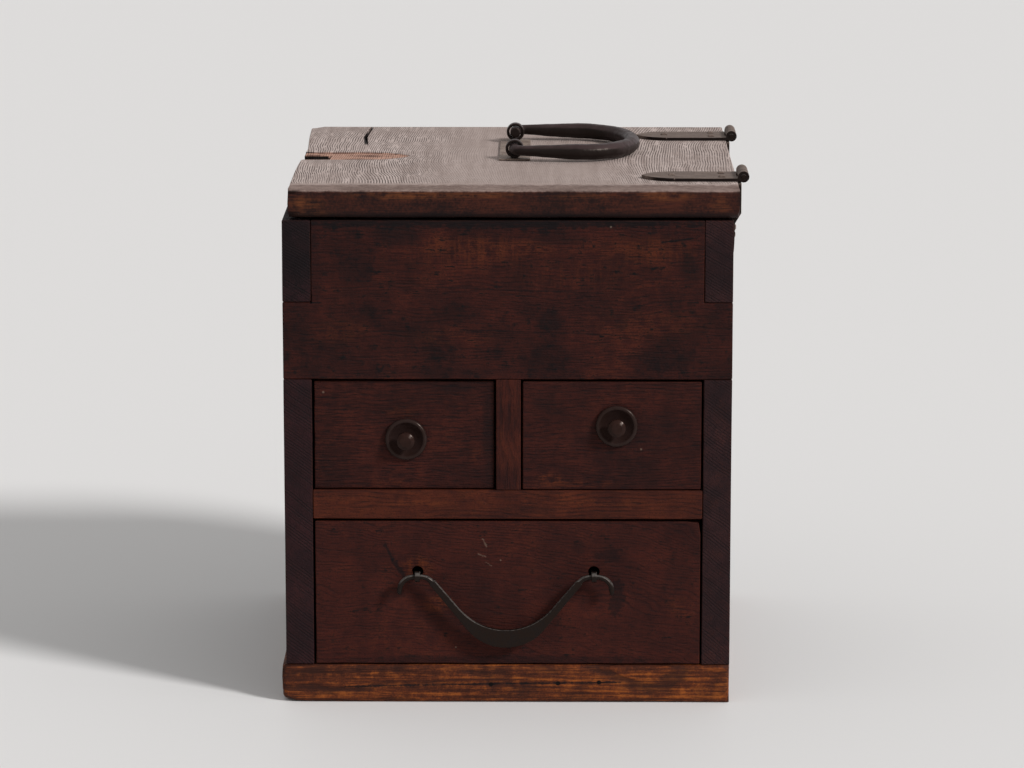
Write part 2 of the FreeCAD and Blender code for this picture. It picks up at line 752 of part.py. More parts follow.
def hinge(end, centre):
    """A strap hinge: the lid's leaf carries the outer knuckles, the side's leaf the middle one."""
    front_face = f"({centre} - hinge_width / 2)"
    rear_face = f"({centre} + hinge_width / 2)"
    middle_front = f"({centre} - middle_knuckle / 2)"
    middle_rear = f"({centre} + middle_knuckle / 2)"
    axis = (HINGE_X, HINGE_Z)
    bore = "hinge_pin_radius + hinge_pin_fit"

    strap = new_body(f"{end}_strap")
    outline = moved(ogive("strap_length", "hinge_width", "strap_point"), HINGE_X, centre, mirror=True)
    pad(strap, "XY_Plane", LID_TOP, "leaf_thickness", [outline])
    clear = "(barrel_radius + knuckle_gap)"
    slot = rectangle(
        f"{HINGE_X} - {clear}",
        f"{HINGE_X} + {clear}",
        f"{middle_front} - knuckle_gap",
        f"{middle_rear} + knuckle_gap",
    )
    pocket(strap, "XY_Plane", f"{LID_TOP} + leaf_thickness", "leaf_thickness", [(slot,)])
    outer = "(hinge_width - middle_knuckle) / 2 - knuckle_gap"
    pad(strap, "XZ_Plane", f"-({middle_front} - knuckle_gap)", outer, [], [(axis, "barrel_radius")])
    pad(strap, "XZ_Plane", f"-{rear_face}", outer, [], [(axis, "barrel_radius")])
    pocket(strap, "XZ_Plane", f"-{front_face}", "hinge_width", [], [(axis, bore)])
    node(cut(f"{end}_strap_drilled", strap, lid_nail_holes), f"{end}_hinge_lid_leaf")

    leaf = new_body(f"{end}_leaf")
    outside = f"({LID_RIGHT} + leaf_gap)"
    tip = f"({HINGE_Z} - side_leaf_drop)"
    profile = [
        (RIGHT, tip),
        (f"{RIGHT} + leaf_thickness", tip),
        (f"{RIGHT} + leaf_thickness", f"{LID_BOTTOM} - joggle_height"),
        (f"{outside} + leaf_thickness", f"{LID_BOTTOM} - joggle_height / 4"),
        (f"{outside} + leaf_thickness", HINGE_Z),
        (outside, HINGE_Z),
        (outside, f"{LID_BOTTOM} - joggle_height / 6"),
        (RIGHT, f"{LID_BOTTOM} - joggle_height * 0.9"),
    ]
    pad(leaf, "XZ_Plane", f"-{rear_face}", "hinge_width", [(profile,)])
    shoulder = f"({HINGE_Z} - barrel_radius - knuckle_gap)"
    above = f"({HINGE_Z} + barrel_radius)"
    spring = f"({tip} + side_leaf_point)"
    waste = [
        (rectangle(f"{front_face} - leaf_gap", middle_front, shoulder, above),),
        (rectangle(middle_rear, f"{rear_face} + leaf_gap", shoulder, above),),
    ]
    pocket(leaf, "YZ_Plane", f"{outside} + 2 * leaf_thickness", "4 * leaf_thickness", waste)
    arch, bulge = ogive("side_leaf_drop", "hinge_width", "side_leaf_point")
    keep = new_body(f"{end}_leaf_arch")
    arch = [(f"{centre} + ({v})", f"{HINGE_Z} + barrel_radius - ({u})") for u, v in arch]
    arch[1] = (arch[1][0], spring)
    arch[2] = (arch[2][0], tip)
    arch[3] = (arch[3][0], spring)
    bulge = {side: (None, spring) for side in bulge}
    pad(keep, "YZ_Plane", RIGHT, "lid_shift + 4 * leaf_thickness", [(arch, bulge)])
    pointed = doc.addObject("Part::Common", f"{end}_leaf_pointed")
    pointed.Base = leaf
    pointed.Tool = keep
    knuckle = rod(f"{end}_knuckle", (HINGE_X, middle_front, HINGE_Z), "barrel_radius", "middle_knuckle")
    joined = doc.addObject("Part::Fuse", f"{end}_leaf_joined")
    joined.Base = pointed
    joined.Tool = knuckle
    pin_start = (HINGE_X, front_face, HINGE_Z)
    bored = cut(f"{end}_leaf_bored", joined, rod(f"{end}_bore", pin_start, bore, "hinge_width"))
    node(cut(f"{end}_leaf_drilled", bored, side_nail_holes), f"{end}_hinge_side_leaf")
    pin = rod(f"{end}_pin", pin_start, "hinge_pin_radius", "hinge_width")
    node(pin, f"{end}_hinge_pin")


for end, centre in HINGE_CENTRES.items():
    hinge(end, centre)


def handle_plate():
    body = new_body("plate_body")
    half = "(eye_spacing / 2 + plate_end)"
    outline = rectangle(
        "handle_x - plate_width / 2",
        "handle_x + plate_width / 2",
        f"handle_offset - {half}",
        f"handle_offset + {half}",
    )
    pad(body, "XY_Plane", LID_TOP, "plate_thickness", [(outline,)])
    pocket(body, "XY_Plane", f"{LID_TOP} + plate_thickness", "plate_thickness", eye_slots())
    node(body, "handle_plate")


handle_plate()


def split_pin(name, strip, radius, width, stem, leg):
    """A strip bent round into an eye, with its two legs turned apart at the far end.

    Drawn in its own XY plane: the eye at the origin, the legs down -Y for the length of the stem.
    """
    body = new_body(name)
    meet = f"-sqrt(({radius}) ^ 2 - ({strip}) ^ 2)"
    clinch = f"-({stem})"
    under = f"-({stem}) - ({strip})"
    corners = [
        (strip, meet),
        (f"-({strip})", meet),
        (f"-({strip})", clinch),
        (f"-({leg})", clinch),
        (f"-({leg})", under),
        (f"-({strip})", under),
        ("0", clinch),
        (strip, under),
        (leg, under),
        (leg, clinch),
        (strip, clinch),
    ]
    bends = {0: (None, "0"), 5: (f"-({strip})", None), 6: (strip, None)}
    middle = f"-({width}) / 2"
    pad(body, "XY_Plane", middle, width, [(corners, bends)])
    pocket(body, "XY_Plane", f"({width}) / 2", width, [], [(("0", "0"), f"{radius} - ({strip})")])
    return body


for end, centre in HANDLE_EYES.items():
    eye = split_pin(
        f"{end}_eye", "eye_strip", EYE_RADIUS, "eye_width", f"{HANDLE_Z} - {LID_BOTTOM}", "eye_leg"
    )
    eye.Placement = FreeCAD.Placement(Vector(), FreeCAD.Rotation(Vector(1, 0, 0), 90))
    place(eye, "handle_x", centre, HANDLE_Z)
    node(eye, f"handle_eye_{end}")


class Bar:
    """A forged bar with hammered flats, bent in the XY plane: it is walked piece by piece from one end."""

    def __init__(self, x, y, heading, radius):
        self.at = Vector(x, y, 0)
        self.heading = heading
        self.radius = radius
        self.pieces = []

    def along(self):
        return Vector(math.cos(self.heading), math.sin(self.heading), 0)

    def outline(self):
        """The section at the present place, a polygon with a flat on top and one below."""
        across = Vector(-math.sin(self.heading), math.cos(self.heading), 0)
        corners = []
        for flat in range(FORGED_FLATS + 1):
            angle = 2 * math.pi * (flat + 0.5) / FORGED_FLATS
            outwards = across * math.sin(angle) + Vector(0, 0, math.cos(angle))
            corners.append(self.at + outwards * self.radius)
        return Part.makePolygon(corners)

    def pin(self, length, radius):
        """A round length that turns in an eye."""
        self.pieces.append(Part.makeCylinder(radius, length, self.at, self.along()))
        self.at = self.at + self.along() * length

    def straight(self, length, radius):
        """A straight length that tapers from the present radius to another."""
        start = self.outline()
        self.at = self.at + self.along() * length
        self.radius = radius
        self.pieces.append(Part.makeLoft([start, self.outline()], True, True))

    def turn(self, bend, angle):
        """A bend of even thickness, to the left if the angle is positive."""
        side = math.copysign(1, angle)
        centre = self.at + Vector(-math.sin(self.heading), math.cos(self.heading), 0) * (side * bend)
        end_face = Part.Face(self.outline())
        self.pieces.append(end_face.revolve(centre, Vector(0, 0, side), math.degrees(abs(angle))))
        self.heading += angle
        outwards = Vector(math.sin(self.heading), -math.cos(self.heading), 0)
        self.at = centre + outwards * (side * bend)

    def solid(self):
        return self.pieces[0].fuse(self.pieces[1:]).removeSplitter()


def lid_handle():
    """The forged U handle: round ends through the eyes, swelling towards the grip."""
    pin = number("handle_end_radius")
    grip = number("handle_grip_radius")
    corner = number("handle_corner")
    bend = number("handle_bend")
    half = number("eye_spacing / 2 + handle_shoulder")
    reach = number("handle_reach")
    shoulder = half - corner
    end_arc = (half - bend * (1 - math.cos(BEND_ANGLE))) / math.cos(BEND_ANGLE)
    bight = bend * math.sin(BEND_ANGLE) + end_arc * (1 - math.sin(BEND_ANGLE))

    # In plan, from the tip in the rear eye round the grip to the tip in the front eye: X out, Y across
    tip = number("eye_spacing / 2 - eye_width")
    arm = reach - corner - bight
    bar = Bar(0.0, tip, math.pi / 2, pin * FORGED_SHARE)
    bar.pin(shoulder - tip, pin)
    bar.turn(corner, -math.pi / 2)
    bar.straight(arm, grip)
    bar.turn(bend, -BEND_ANGLE)
    bar.turn(end_arc, 2 * BEND_ANGLE - math.pi)
    bar.turn(bend, -BEND_ANGLE)
    bar.straight(arm, pin * FORGED_SHARE)
    bar.turn(corner, -math.pi / 2)
    bar.pin(shoulder - tip, pin)
    droop = number(f"{HANDLE_Z} - {LID_TOP} - handle_grip_radius - handle_rest_gap")
    tilt = math.degrees(math.asin(droop / reach))
    made = doc.addObject("Part::Feature", "handle_bar")
    made.Shape = bar.solid()
    made.Placement = FreeCAD.Placement(Vector(), FreeCAD.Rotation(Vector(0, 1, 0), tilt))
    place(made, "handle_x", "handle_offset", HANDLE_Z)
    node(made, "lid_handle")


lid_handle()


def drawer(name, x_low, x_high, z_low, z_high, inset, holes):
    """A drawer: lapped front, sides let into it, a back between the sides and a bottom under them.

    The holes in the front are circles: across, up and the radius.
    """
    face = f"({FRONT} + {inset})"
    lap = f"({face} + drawer_lap)"
    inside = f"({face} + drawer_front)"
    end = f"({INNER_BACK} - drawer_rear_gap + {inset})"
    rear = f"({end} - drawer_side)"
    left = f"({x_low} + drawer_play)"
    right = f"({x_high} - drawer_play)"
    inner_left = f"({left} + drawer_side)"
    inner_right = f"({right} - drawer_side)"
    bottom = f"({z_low} + drawer_lift)"
    top = f"({z_high} - drawer_headroom)"
    tray = f"({bottom} + drawer_bottom)"
    wall = f"({top} - drawer_side_drop)"

    pegs = []
    peg_holes = []
    peg_length = "drawer_side + drawer_peg_bite"
    for axis, x in (("X", left), ("-X", right)):
        for depth in (f"({lap} + {inside}) / 2", f"{end} - drawer_side / 2"):
            for share in PEG_SHARES:
                start = (x, depth, f"{tray} + ({wall} - {tray}) * {share}")
                tag = f"{name}_peg_{len(pegs)}"
                pegs.append(stick(tag, axis, start, "drawer_peg / 2", peg_length))
                peg_holes.append(stick(f"{tag}_hole", axis, start, "drawer_peg / 2 + peg_fit", peg_length))
    bores = group(f"{name}_peg_holes", peg_holes)
    node(group(f"{name}_peg_group", pegs), f"{name}_pegs")

    front = new_body(f"{name}_front_blank")
    plan = [
        (left, face),
        (right, face),
        (right, lap),
        (inner_right, lap),
        (inner_right, inside),
        (inner_left, inside),
        (inner_left, lap),
        (left, lap),
    ]
    pad(front, "XY_Plane", bottom, f"{top} - {bottom}", [(plan,)])
    rebate = rectangle(left, right, lap, inside)
    pocket(front, "XY_Plane", tray, "drawer_bottom", [(rebate,)])
    circles = [((across, up), radius) for across, up, radius in holes]
    pocket(front, "XZ_Plane", f"-{face}", "drawer_front", [], circles)
    node(cut(f"{name}_front_drilled", front, bores), f"{name}_front")

    walls = {
        "left_side": ((left, inner_left), (lap, end)),
        "right_side": ((inner_right, right), (lap, end)),
        "back": ((inner_left, inner_right), (rear, end)),
    }
    for wall_name, (x, y) in walls.items():
        board = block(f"{name}_{wall_name}_blank", x, y, (tray, wall))
        node(cut(f"{name}_{wall_name}_drilled", board, bores), f"{name}_{wall_name}")
    node(block(f"{name}_bottom_board", (left, right), (lap, end), (bottom, tray)), f"{name}_bottom")
    return face


STUD_HOLE = "(stud_shank_radius + stud_fit)"


def knob(name, face, across, up):
    """A flat rosette with a raised rim, and the stud that passes through it and clinches inside."""
    turned = FreeCAD.Placement(Vector(), FreeCAD.Rotation(Vector(0, 0, 1), 180))
    shank = "stud_shank_radius"
    rosette = new_body(f"{name}_rosette_body")
    profile = [
        (STUD_HOLE, "0"),
        ("rosette_radius", "0"),
        ("rosette_radius - rosette_rim / 3", "rosette_roll"),
        ("rosette_radius - rosette_rim", "rosette_dish"),
        (STUD_HOLE, "rosette_dish"),
    ]
    revolve(rosette, profile)
    rosette.Placement = turned
    place(rosette, across, face, up)
    node(rosette, f"{name}_knob_rosette")

    stud = new_body(f"{name}_stud_body")
    neck_top = "(rosette_dish + stud_neck)"
    head_top = f"({neck_top} + stud_head)"
    crown = f"({head_top} + stud_dome)"
    profile = [
        ("0", "-drawer_front"),
        (shank, "-drawer_front"),
        (shank, "rosette_dish"),
        ("stud_neck_radius", "rosette_dish"),
        ("stud_neck_radius", neck_top),
        ("stud_head_radius", neck_top),
        ("stud_head_radius", head_top),
        ("stud_crown_radius", crown),
        ("0", crown),
    ]
    revolve(stud, profile)
    legs = rectangle("-stud_leg", "stud_leg", "-stud_strip", "stud_strip")
    pad(stud, "XZ_Plane", "drawer_front", "stud_strip", [(legs,)])
    stud.Placement = turned
    place(stud, across, face, up)
    node(stud, f"{name}_knob_stud")


def revolve(body, profile):
    """Turn a half outline, X out from the axis and Y along it, once round the Y axis."""
    sketch = plane_sketch(body, "XY_Plane", "0", f"{body.Name}_profile")
    draw_loop(sketch, profile)
    made = body.newObject("PartDesign::Revolution", f"{body.Name}_turned")
    made.Profile = sketch
    made.ReferenceAxis = (sketch, ["V_Axis"])
    made.Angle = 360
    body.Tip = made
    return made


SMALL_MIDDLE = f"(({RAIL_TOP} + {WALL_BOTTOM}) / 2)"
LEFT_MIDDLE = f"(({INNER_LEFT} + {DIVIDER_LEFT}) / 2)"
RIGHT_MIDDLE = f"(({INNER_RIGHT} + {DIVIDER_RIGHT}) / 2)"
LEFT_KNOB = (f"{LEFT_MIDDLE} + left_knob_shift", f"{SMALL_MIDDLE} + left_knob_rise")
RIGHT_KNOB = (f"{RIGHT_MIDDLE} + right_knob_shift", f"{SMALL_MIDDLE} + right_knob_rise")
left_face = drawer(
    "left_drawer",
    INNER_LEFT,
    DIVIDER_LEFT,
    RAIL_TOP,
    WALL_BOTTOM,
    "left_drawer_inset",
    [(*LEFT_KNOB, STUD_HOLE)],
)
knob("left", left_face, *LEFT_KNOB)
right_face = drawer(
    "right_drawer",
    DIVIDER_RIGHT,
    INNER_RIGHT,
    RAIL_TOP,
    WALL_BOTTOM,
    "right_drawer_inset",
    [(*RIGHT_KNOB, STUD_HOLE)],
)
knob("right", right_face, *RIGHT_KNOB)

BAIL_Z = f"({BASE_TOP} + bail_rise)"
BAIL_EYES = {
    "left": "(bail_shift - bail_spacing / 2)",
    "right": "(bail_shift + bail_spacing / 2)",
}
large_face = drawer(
    "large_drawer",
    INNER_LEFT,
    INNER_RIGHT,
    BASE_TOP,
    RAIL_BOTTOM,
    "large_drawer_inset",
    [(x, f"({BAIL_Z} + eyelet_hole_rise)", "eyelet_hole_radius") for x in BAIL_EYES.values()],
)
BAIL_Y = f"({large_face} - bail_standoff)"

for end, x in BAIL_EYES.items():
    eyelet = split_pin(
        f"{end}_eyelet",
        "eyelet_strip",
        "bail_wire / 2 + bail_pin_room + eyelet_strip",
        "eyelet_width",
        "bail_standoff + drawer_front",
        "eyelet_leg",
    )
    # The eye's axis turns to lie along X and its legs point to the back
    along_x = FreeCAD.Rotation(Vector(0, 0, 1), Vector(0, -1, 0), Vector(1, 0, 0), "ZYX")
    eyelet.Placement = FreeCAD.Placement(Vector(), along_x)
    place(eyelet, x, BAIL_Y, BAIL_Z)
    node(eyelet, f"bail_eyelet_{end}")


def mirror_x(point):
    return Vector(-point.x, point.y, point.z)


def bail_edge(start, slope, lowest):
    """Where a straight flank of the drop handle runs into the arc that ends at its lowest point."""
    sine = math.sin(slope)
    cosine = math.cos(slope)
    radius = (start.x * sine + (lowest - start.y) * cosine) / (1 - cosine)
    return Vector(radius * sine, lowest + radius * (1 - cosine), 0)


def bail_strap(shoulder, drop):
    """The flat crescent between the two shoulders of the drop handle."""
    strap = number("bail_strap")
    flat = number("bail_strap_thickness")
    inwards = Vector(-math.sin(BAIL_SLOPE), math.cos(BAIL_SLOPE), 0)
    upper = shoulder + inwards * number("bail_shoulder / 2")
    lower = shoulder - inwards * number("bail_shoulder / 2")
    top = Vector(0, strap / 2 - drop, 0)
    bottom = Vector(0, -strap / 2 - drop, 0)
    upper_end = bail_edge(upper, BAIL_INNER_SLOPE, top.y)
    lower_end = bail_edge(lower, BAIL_SLOPE, bottom.y)
    edges = [
        Part.LineSegment(lower, lower_end),
        Part.Arc(lower_end, bottom, mirror_x(lower_end)),
        Part.LineSegment(mirror_x(lower_end), mirror_x(lower)),
        Part.LineSegment(mirror_x(lower), mirror_x(upper)),
        Part.LineSegment(mirror_x(upper), mirror_x(upper_end)),
        Part.Arc(mirror_x(upper_end), top, upper_end),
        Part.LineSegment(upper_end, upper),
        Part.LineSegment(upper, lower),
    ]
    face = Part.Face(Part.Wire([edge.toShape() for edge in edges]))
    solid = face.extrude(Vector(0, 0, flat))
    solid.translate(Vector(0, 0, -flat / 2))
    return solid


def drawer_bail():
    """The drop handle: a flat strap in the middle, drawn down to wire that passes through the eyelets."""
    wire = number("bail_wire / 2")
    crest = number("bail_crest")
    half = number("bail_spacing / 2")
    pin = number("eyelet_width / 2 + bail_pin_room")
    drop = number("bail_drop")
    bend = number("bail_tail_bend")
    tail = number("bail_tail")
    inner = half - pin
    bends = (math.tan(BAIL_SLOPE) * inner - drop) / (1 / math.cos(BAIL_SLOPE) - 1)
    flank = (inner - bends * math.sin(BAIL_SLOPE)) / math.cos(BAIL_SLOPE)

    # From the tip of the right tail up, through the eyelet and down the flank: X across, Y up
    bar = Bar(half + pin + bend, -bend - tail, math.pi / 2, wire * TAIL_TAPER)
    bar.straight(tail, wire * FORGED_SHARE)
    bar.turn(bend, math.pi / 2)
    bar.pin(2 * pin, wire)
    bar.turn(crest, BAIL_SLOPE)
    shoulder = Vector(bar.at)
    bar.straight(flank / 2, wire * TAIL_TAPER)
    right_end = bar.solid()
    left_end = right_end.mirror(Vector(), Vector(1, 0, 0))
    strap = bail_strap(shoulder, drop)
    made = doc.addObject("Part::Feature", "bail_bar")
    made.Shape = strap.fuse([right_end, left_end])
    made.Placement = FreeCAD.Placement(Vector(), FreeCAD.Rotation(Vector(1, 0, 0), 90))
    place(made, "bail_shift", BAIL_Y, BAIL_Z)
    node(made, "drawer_bail")


drawer_bail()

doc.recompute()
for made in doc.Objects:
    if "Invalid" in made.State or "Error" in made.State:
        raise RuntimeError(f"{made.Name} did not build: {made.State}")
for made in NODES:
    if made.Shape.isNull() or not made.Shape.isValid():
        raise RuntimeError(f"{made.Label} has no valid shape")
    made.Shape.exportStep(f"parts/{made.Label}.step")
print(len(NODES), "pieces")
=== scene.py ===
# %% [markdown]
# # An old money box with a lid and three drawers
# The solids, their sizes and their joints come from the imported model. This lesson only dresses them:
# it wears the edges of the boards, smooths the forged iron and gives each piece its finish.
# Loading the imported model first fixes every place, so nothing here has to be fitted by eye.

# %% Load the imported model
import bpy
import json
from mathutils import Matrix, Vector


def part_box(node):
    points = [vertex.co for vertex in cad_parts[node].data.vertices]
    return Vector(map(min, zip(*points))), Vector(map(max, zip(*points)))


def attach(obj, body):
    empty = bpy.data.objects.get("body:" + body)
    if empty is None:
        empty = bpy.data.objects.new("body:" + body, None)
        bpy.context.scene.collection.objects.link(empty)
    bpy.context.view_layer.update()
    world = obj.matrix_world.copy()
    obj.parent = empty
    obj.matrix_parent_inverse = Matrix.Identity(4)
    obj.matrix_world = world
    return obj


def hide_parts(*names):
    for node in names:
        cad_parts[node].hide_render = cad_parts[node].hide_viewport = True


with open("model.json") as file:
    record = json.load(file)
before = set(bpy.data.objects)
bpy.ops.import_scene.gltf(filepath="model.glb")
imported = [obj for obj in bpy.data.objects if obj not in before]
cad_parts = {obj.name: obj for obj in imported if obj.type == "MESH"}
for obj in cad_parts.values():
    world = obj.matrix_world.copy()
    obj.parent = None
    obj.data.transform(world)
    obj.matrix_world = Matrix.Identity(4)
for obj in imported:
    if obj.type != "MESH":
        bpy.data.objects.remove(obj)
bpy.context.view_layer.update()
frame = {"nodes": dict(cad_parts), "record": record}

# %% [markdown]
# ## The camera
# The box is seen from the front and a little from above, through a long lens that keeps its upright
# edges parallel. The place and the lens were worked out from the corners of the base, the rail and
# the lid, so one camera with fixed numbers is enough and nothing has to track the object.

# %% Place the camera
import json
import math

import bmesh
import bpy
from mathutils import Vector, noise

MM = 0.001
CAMERA_PLACE = (0.0166, -1.8117, 0.4868)
CAMERA_DOWN = 11.48
CAMERA_TURN = 0.493
LENS = 147.29
SENSOR = 36

scene = bpy.context.scene
scene.view_settings.view_transform = "Standard"
camera = bpy.data.objects.new("front_camera", bpy.data.cameras.new("front_camera"))
camera.data.lens = LENS
camera.data.sensor_width = SENSOR
camera.location = CAMERA_PLACE
camera.rotation_euler = (math.radians(90 - CAMERA_DOWN), 0, math.radians(CAMERA_TURN))
scene.collection.objects.link(camera)
scene.camera = camera
print("camera", CAMERA_PLACE, "lens", LENS)

# %% [markdown]
# ## Sockets that can be added and multiplied
# A finish is a net of nodes, and most of its nodes are sums. Wrapping a socket in a small class lets
# those sums be written as Python: each operator adds one Math node and gives back its output. Soft
# steps up and down turn a measure into a mask, with limits as they come or in millimetres.

# %% Wrap a socket


class Signal:
    """The output of a node, as a value that changes over the surface."""

    def __init__(self, finish, socket):
        self.finish = finish
        self.socket = socket

    def math(self, operation, *values):
        return self.finish.node("ShaderNodeMath", {"operation": operation}, dict(enumerate(values)))

    def __add__(self, other):
        return self.math("ADD", self, other)

    def __radd__(self, other):
        return self.math("ADD", other, self)

    def __sub__(self, other):
        return self.math("SUBTRACT", self, other)

    def __rsub__(self, other):
        return self.math("SUBTRACT", other, self)

    def __mul__(self, other):
        return self.math("MULTIPLY", self, other)

    def __rmul__(self, other):
        return self.math("MULTIPLY", other, self)

    def fract(self):
        return self.math("FRACT", self)

    def least(self, other):
        return self.math("MINIMUM", self, other)

    def most(self, other):
        return self.math("MAXIMUM", self, other)

    def rise(self, low, high):
        """0 up to low, 1 from high on, and a soft step between them."""
        sockets = {"Value": self, "From Min": low, "From Max": high}
        return self.finish.node("ShaderNodeMapRange", {"interpolation_type": "SMOOTHSTEP"}, sockets)

    def fall(self, low, high):
        return 1 - self.rise(low, high)

    def over(self, limit, blur):
        """1 for places past a limit and its blur, both in millimetres."""
        return self.rise(limit * MM, (limit + blur) * MM)

    def under(self, limit, blur):
        return 1 - self.over(limit, blur)

    def away_from(self, middle):
        """The distance of a place from a middle, which is in millimetres."""
        aside = self - middle * MM
        return aside.math("ABSOLUTE", aside)


print("signals wrapped")

# %% [markdown]
# ## A material that makes its own nodes
# A second class holds a material and its surface shader. Its node method makes any node from a type,
# the settings and the sockets. The short methods after it stand for the few nodes that every finish
# here needs: places, noises, blended colours and bumps.

# %% Hold a material
# A Mix node has its sockets for colours behind those for values and vectors
MIX_SHARE = 0
MIX_FIRST = 6
MIX_SECOND = 7
MIX_COLOUR = 2


class Finish:
    """A material with one surface shader, whose sockets are fed by signals."""

    def __init__(self, name):
        self.material = bpy.data.materials.new(name)
        self.material.use_nodes = True
        self.tree = self.material.node_tree
        self.shader = self.tree.nodes["Principled BSDF"]

    def node(self, kind, settings, sockets, output=0):
        """Any node: first its settings, then the values or links of its sockets."""
        made = self.tree.nodes.new(kind)
        for name, value in settings.items():
            setattr(made, name, value)
        for name, value in sockets.items():
            self.feed(made.inputs[name], value)
        return Signal(self, made.outputs[output])

    def feed(self, socket, value):
        if isinstance(value, Signal):
            self.tree.links.new(value.socket, socket)
        elif socket.type == "RGBA":
            socket.default_value = (*value, 1)
        else:
            socket.default_value = value

    def surface(self, **values):
        """Feeds the shader's sockets, base_color for Base Color and so on."""
        for name, value in values.items():
            socket = name.replace("_", " ").title().replace("Ior", "IOR")
            self.feed(self.shader.inputs[socket], value)

    def parts(self, vector):
        return [self.node("ShaderNodeSeparateXYZ", {}, {"Vector": vector}, axis) for axis in "XYZ"]

    def place(self):
        """Where a point lies on the object: the whole vector, and its three parts in metres."""
        spot = self.node("ShaderNodeTexCoord", {}, {}, "Object")
        return spot, self.parts(spot)

    def facing(self):
        """Which way the surface faces, as three parts from -1 to 1."""
        return self.parts(self.node("ShaderNodeTexCoord", {}, {}, "Normal"))

    def vector(self, x, y, z):
        return self.node("ShaderNodeCombineXYZ", {}, {"X": x, "Y": y, "Z": z})

    def vector_math(self, operation, first, second, output="Vector"):
        return self.node("ShaderNodeVectorMath", {"operation": operation}, {0: first, 1: second}, output)

    def length(self, vector):
        return self.vector_math("LENGTH", vector, (0, 0, 0), "Value")

    def cloud(self, vector, scale, detail, roughness):
        sockets = {"Vector": vector, "Scale": scale, "Detail": detail, "Roughness": roughness}
        return self.node("ShaderNodeTexNoise", {}, sockets)

    def noise(self, x, y, z, detail=2.0, roughness=0.5):
        """Noise of its own size in each direction."""
        return self.cloud(self.vector(x, y, z), 1, detail, roughness)

    def even_noise(self, spot, scale, shift, detail, roughness):
        """Noise of the same size in all directions. The scale is per metre."""
        moved = self.vector_math("ADD", spot, (shift, shift, shift))
        return self.cloud(moved, scale, detail, roughness)

    def blend(self, first, second, share):
        """One colour going over into another."""
        sockets = {MIX_SHARE: share, MIX_FIRST: first, MIX_SECOND: second}
        return self.node("ShaderNodeMix", {"data_type": "RGBA"}, sockets, MIX_COLOUR)

    def attribute(self, name):
        return self.node("ShaderNodeAttribute", {"attribute_name": name}, {}, "Fac")

    def bump(self, height):
        """The normal of a surface whose height is given in millimetres."""
        normal = self.node("ShaderNodeBump", {}, {"Height": height, "Distance": MM})
        self.feed(self.shader.inputs["Normal"], normal)


print("materials wrapped")

# %% [markdown]
# ## Floor and light
# The floor is a plain pale sheet. Soft daylight comes from the upper right, so a sun with a wide
# disc gives the handle and the drop handle soft shadows to the lower left, and an even sky fills the
# rest. Both are set so that a surface facing up shows about the colour that is written for it.

# %% Lay the floor and set the lights
FLOOR_REACH = 30
FLOOR_COLOUR = (0.77, 0.755, 0.745)
SKY_COLOUR = (1, 1, 1, 1)
SKY_LEVEL = 0.5
SUN_LEVEL = 0.85
SUN_HEIGHT = 34
SUN_RIGHT = 56
SUN_DISC = 11

floor_mesh = bpy.data.meshes.new("floor")
corners = [(-FLOOR_REACH, -FLOOR_REACH, 0), (FLOOR_REACH, -FLOOR_REACH, 0)]
corners += [(FLOOR_REACH, FLOOR_REACH, 0), (-FLOOR_REACH, FLOOR_REACH, 0)]
floor_mesh.from_pydata(corners, [], [(0, 1, 2, 3)])
floor = bpy.data.objects.new("floor", floor_mesh)
scene.collection.objects.link(floor)
floor_paint = Finish("pale_floor")
floor_paint.surface(base_color=FLOOR_COLOUR, roughness=0.6, specular_ior_level=0.2)
floor_mesh.materials.append(floor_paint.material)

sun = bpy.data.objects.new("daylight", bpy.data.lights.new("daylight", "SUN"))
sun.data.energy = SUN_LEVEL * math.pi
sun.data.angle = math.radians(SUN_DISC)
sun.rotation_euler = (math.radians(90 - SUN_HEIGHT), 0, math.radians(SUN_RIGHT))
scene.collection.objects.link(sun)
scene.world = bpy.data.worlds.new("sky")
scene.world.use_nodes = True
sky = scene.world.node_tree.nodes["Background"]
sky.inputs["Color"].default_value = SKY_COLOUR
sky.inputs["Strength"].default_value = SKY_LEVEL
print("sun", SUN_LEVEL, "sky", SKY_LEVEL)

# %% [markdown]
# ## Wood as a piece of a log
# Every board was sawn from a trunk, so its face, its edges and its ends show the same year rings cut
# at different angles. A picture of grain on each face could not do that. Here the rings are worked
# out in space: the distance from the heart of the trunk, bent by slow noise, is cut into years. Fine
# fibres and short pores run along the board, and some years are darker than others.

# %% Cut rings, fibres and pores
# The axes that run along a board, across it and into it
GRAIN = {"X": (0, 2, 1), "Y": (1, 0, 2), "Z": (2, 0, 1)}
BEND = 14
CURL = 3.5


def log(finish, parts, grain, year, heart, seed, wave=1.0, slope=0.0):
    """The dark late wood of the rings, the fibres and the pores. A year is in millimetres."""
    along, across, depth = [parts[axis] for axis in GRAIN[grain]]
    bend = finish.noise(along * 7 + seed, across * 16, depth * 16) - 0.5
    curl = finish.noise(along * 45, across * 60, depth * 60 + seed) - 0.5
    offset = finish.vector(across - heart[0], depth - heart[1], 0)
    wander = bend * (BEND * MM * wave) + curl * (CURL * MM * wave)
    reach = finish.length(offset) + wander + along * slope
    season = (reach * (1 / (year * MM))).fract()
    ring = season.rise(0.3, 0.75) * season.fall(0.8, 0.97)
    strength = finish.noise(reach * 420, along * 14, seed).rise(0.32, 0.62)
    fibre = finish.noise(along * 90, across * 1800, depth * 1800 + seed, 3, 0.65)
    pore = finish.noise(along * 170, across * 1900 + seed, depth * 1900, 2).rise(0.52, 0.64)
    return ring * strength, fibre, pore


print("boards can run along", sorted(GRAIN))

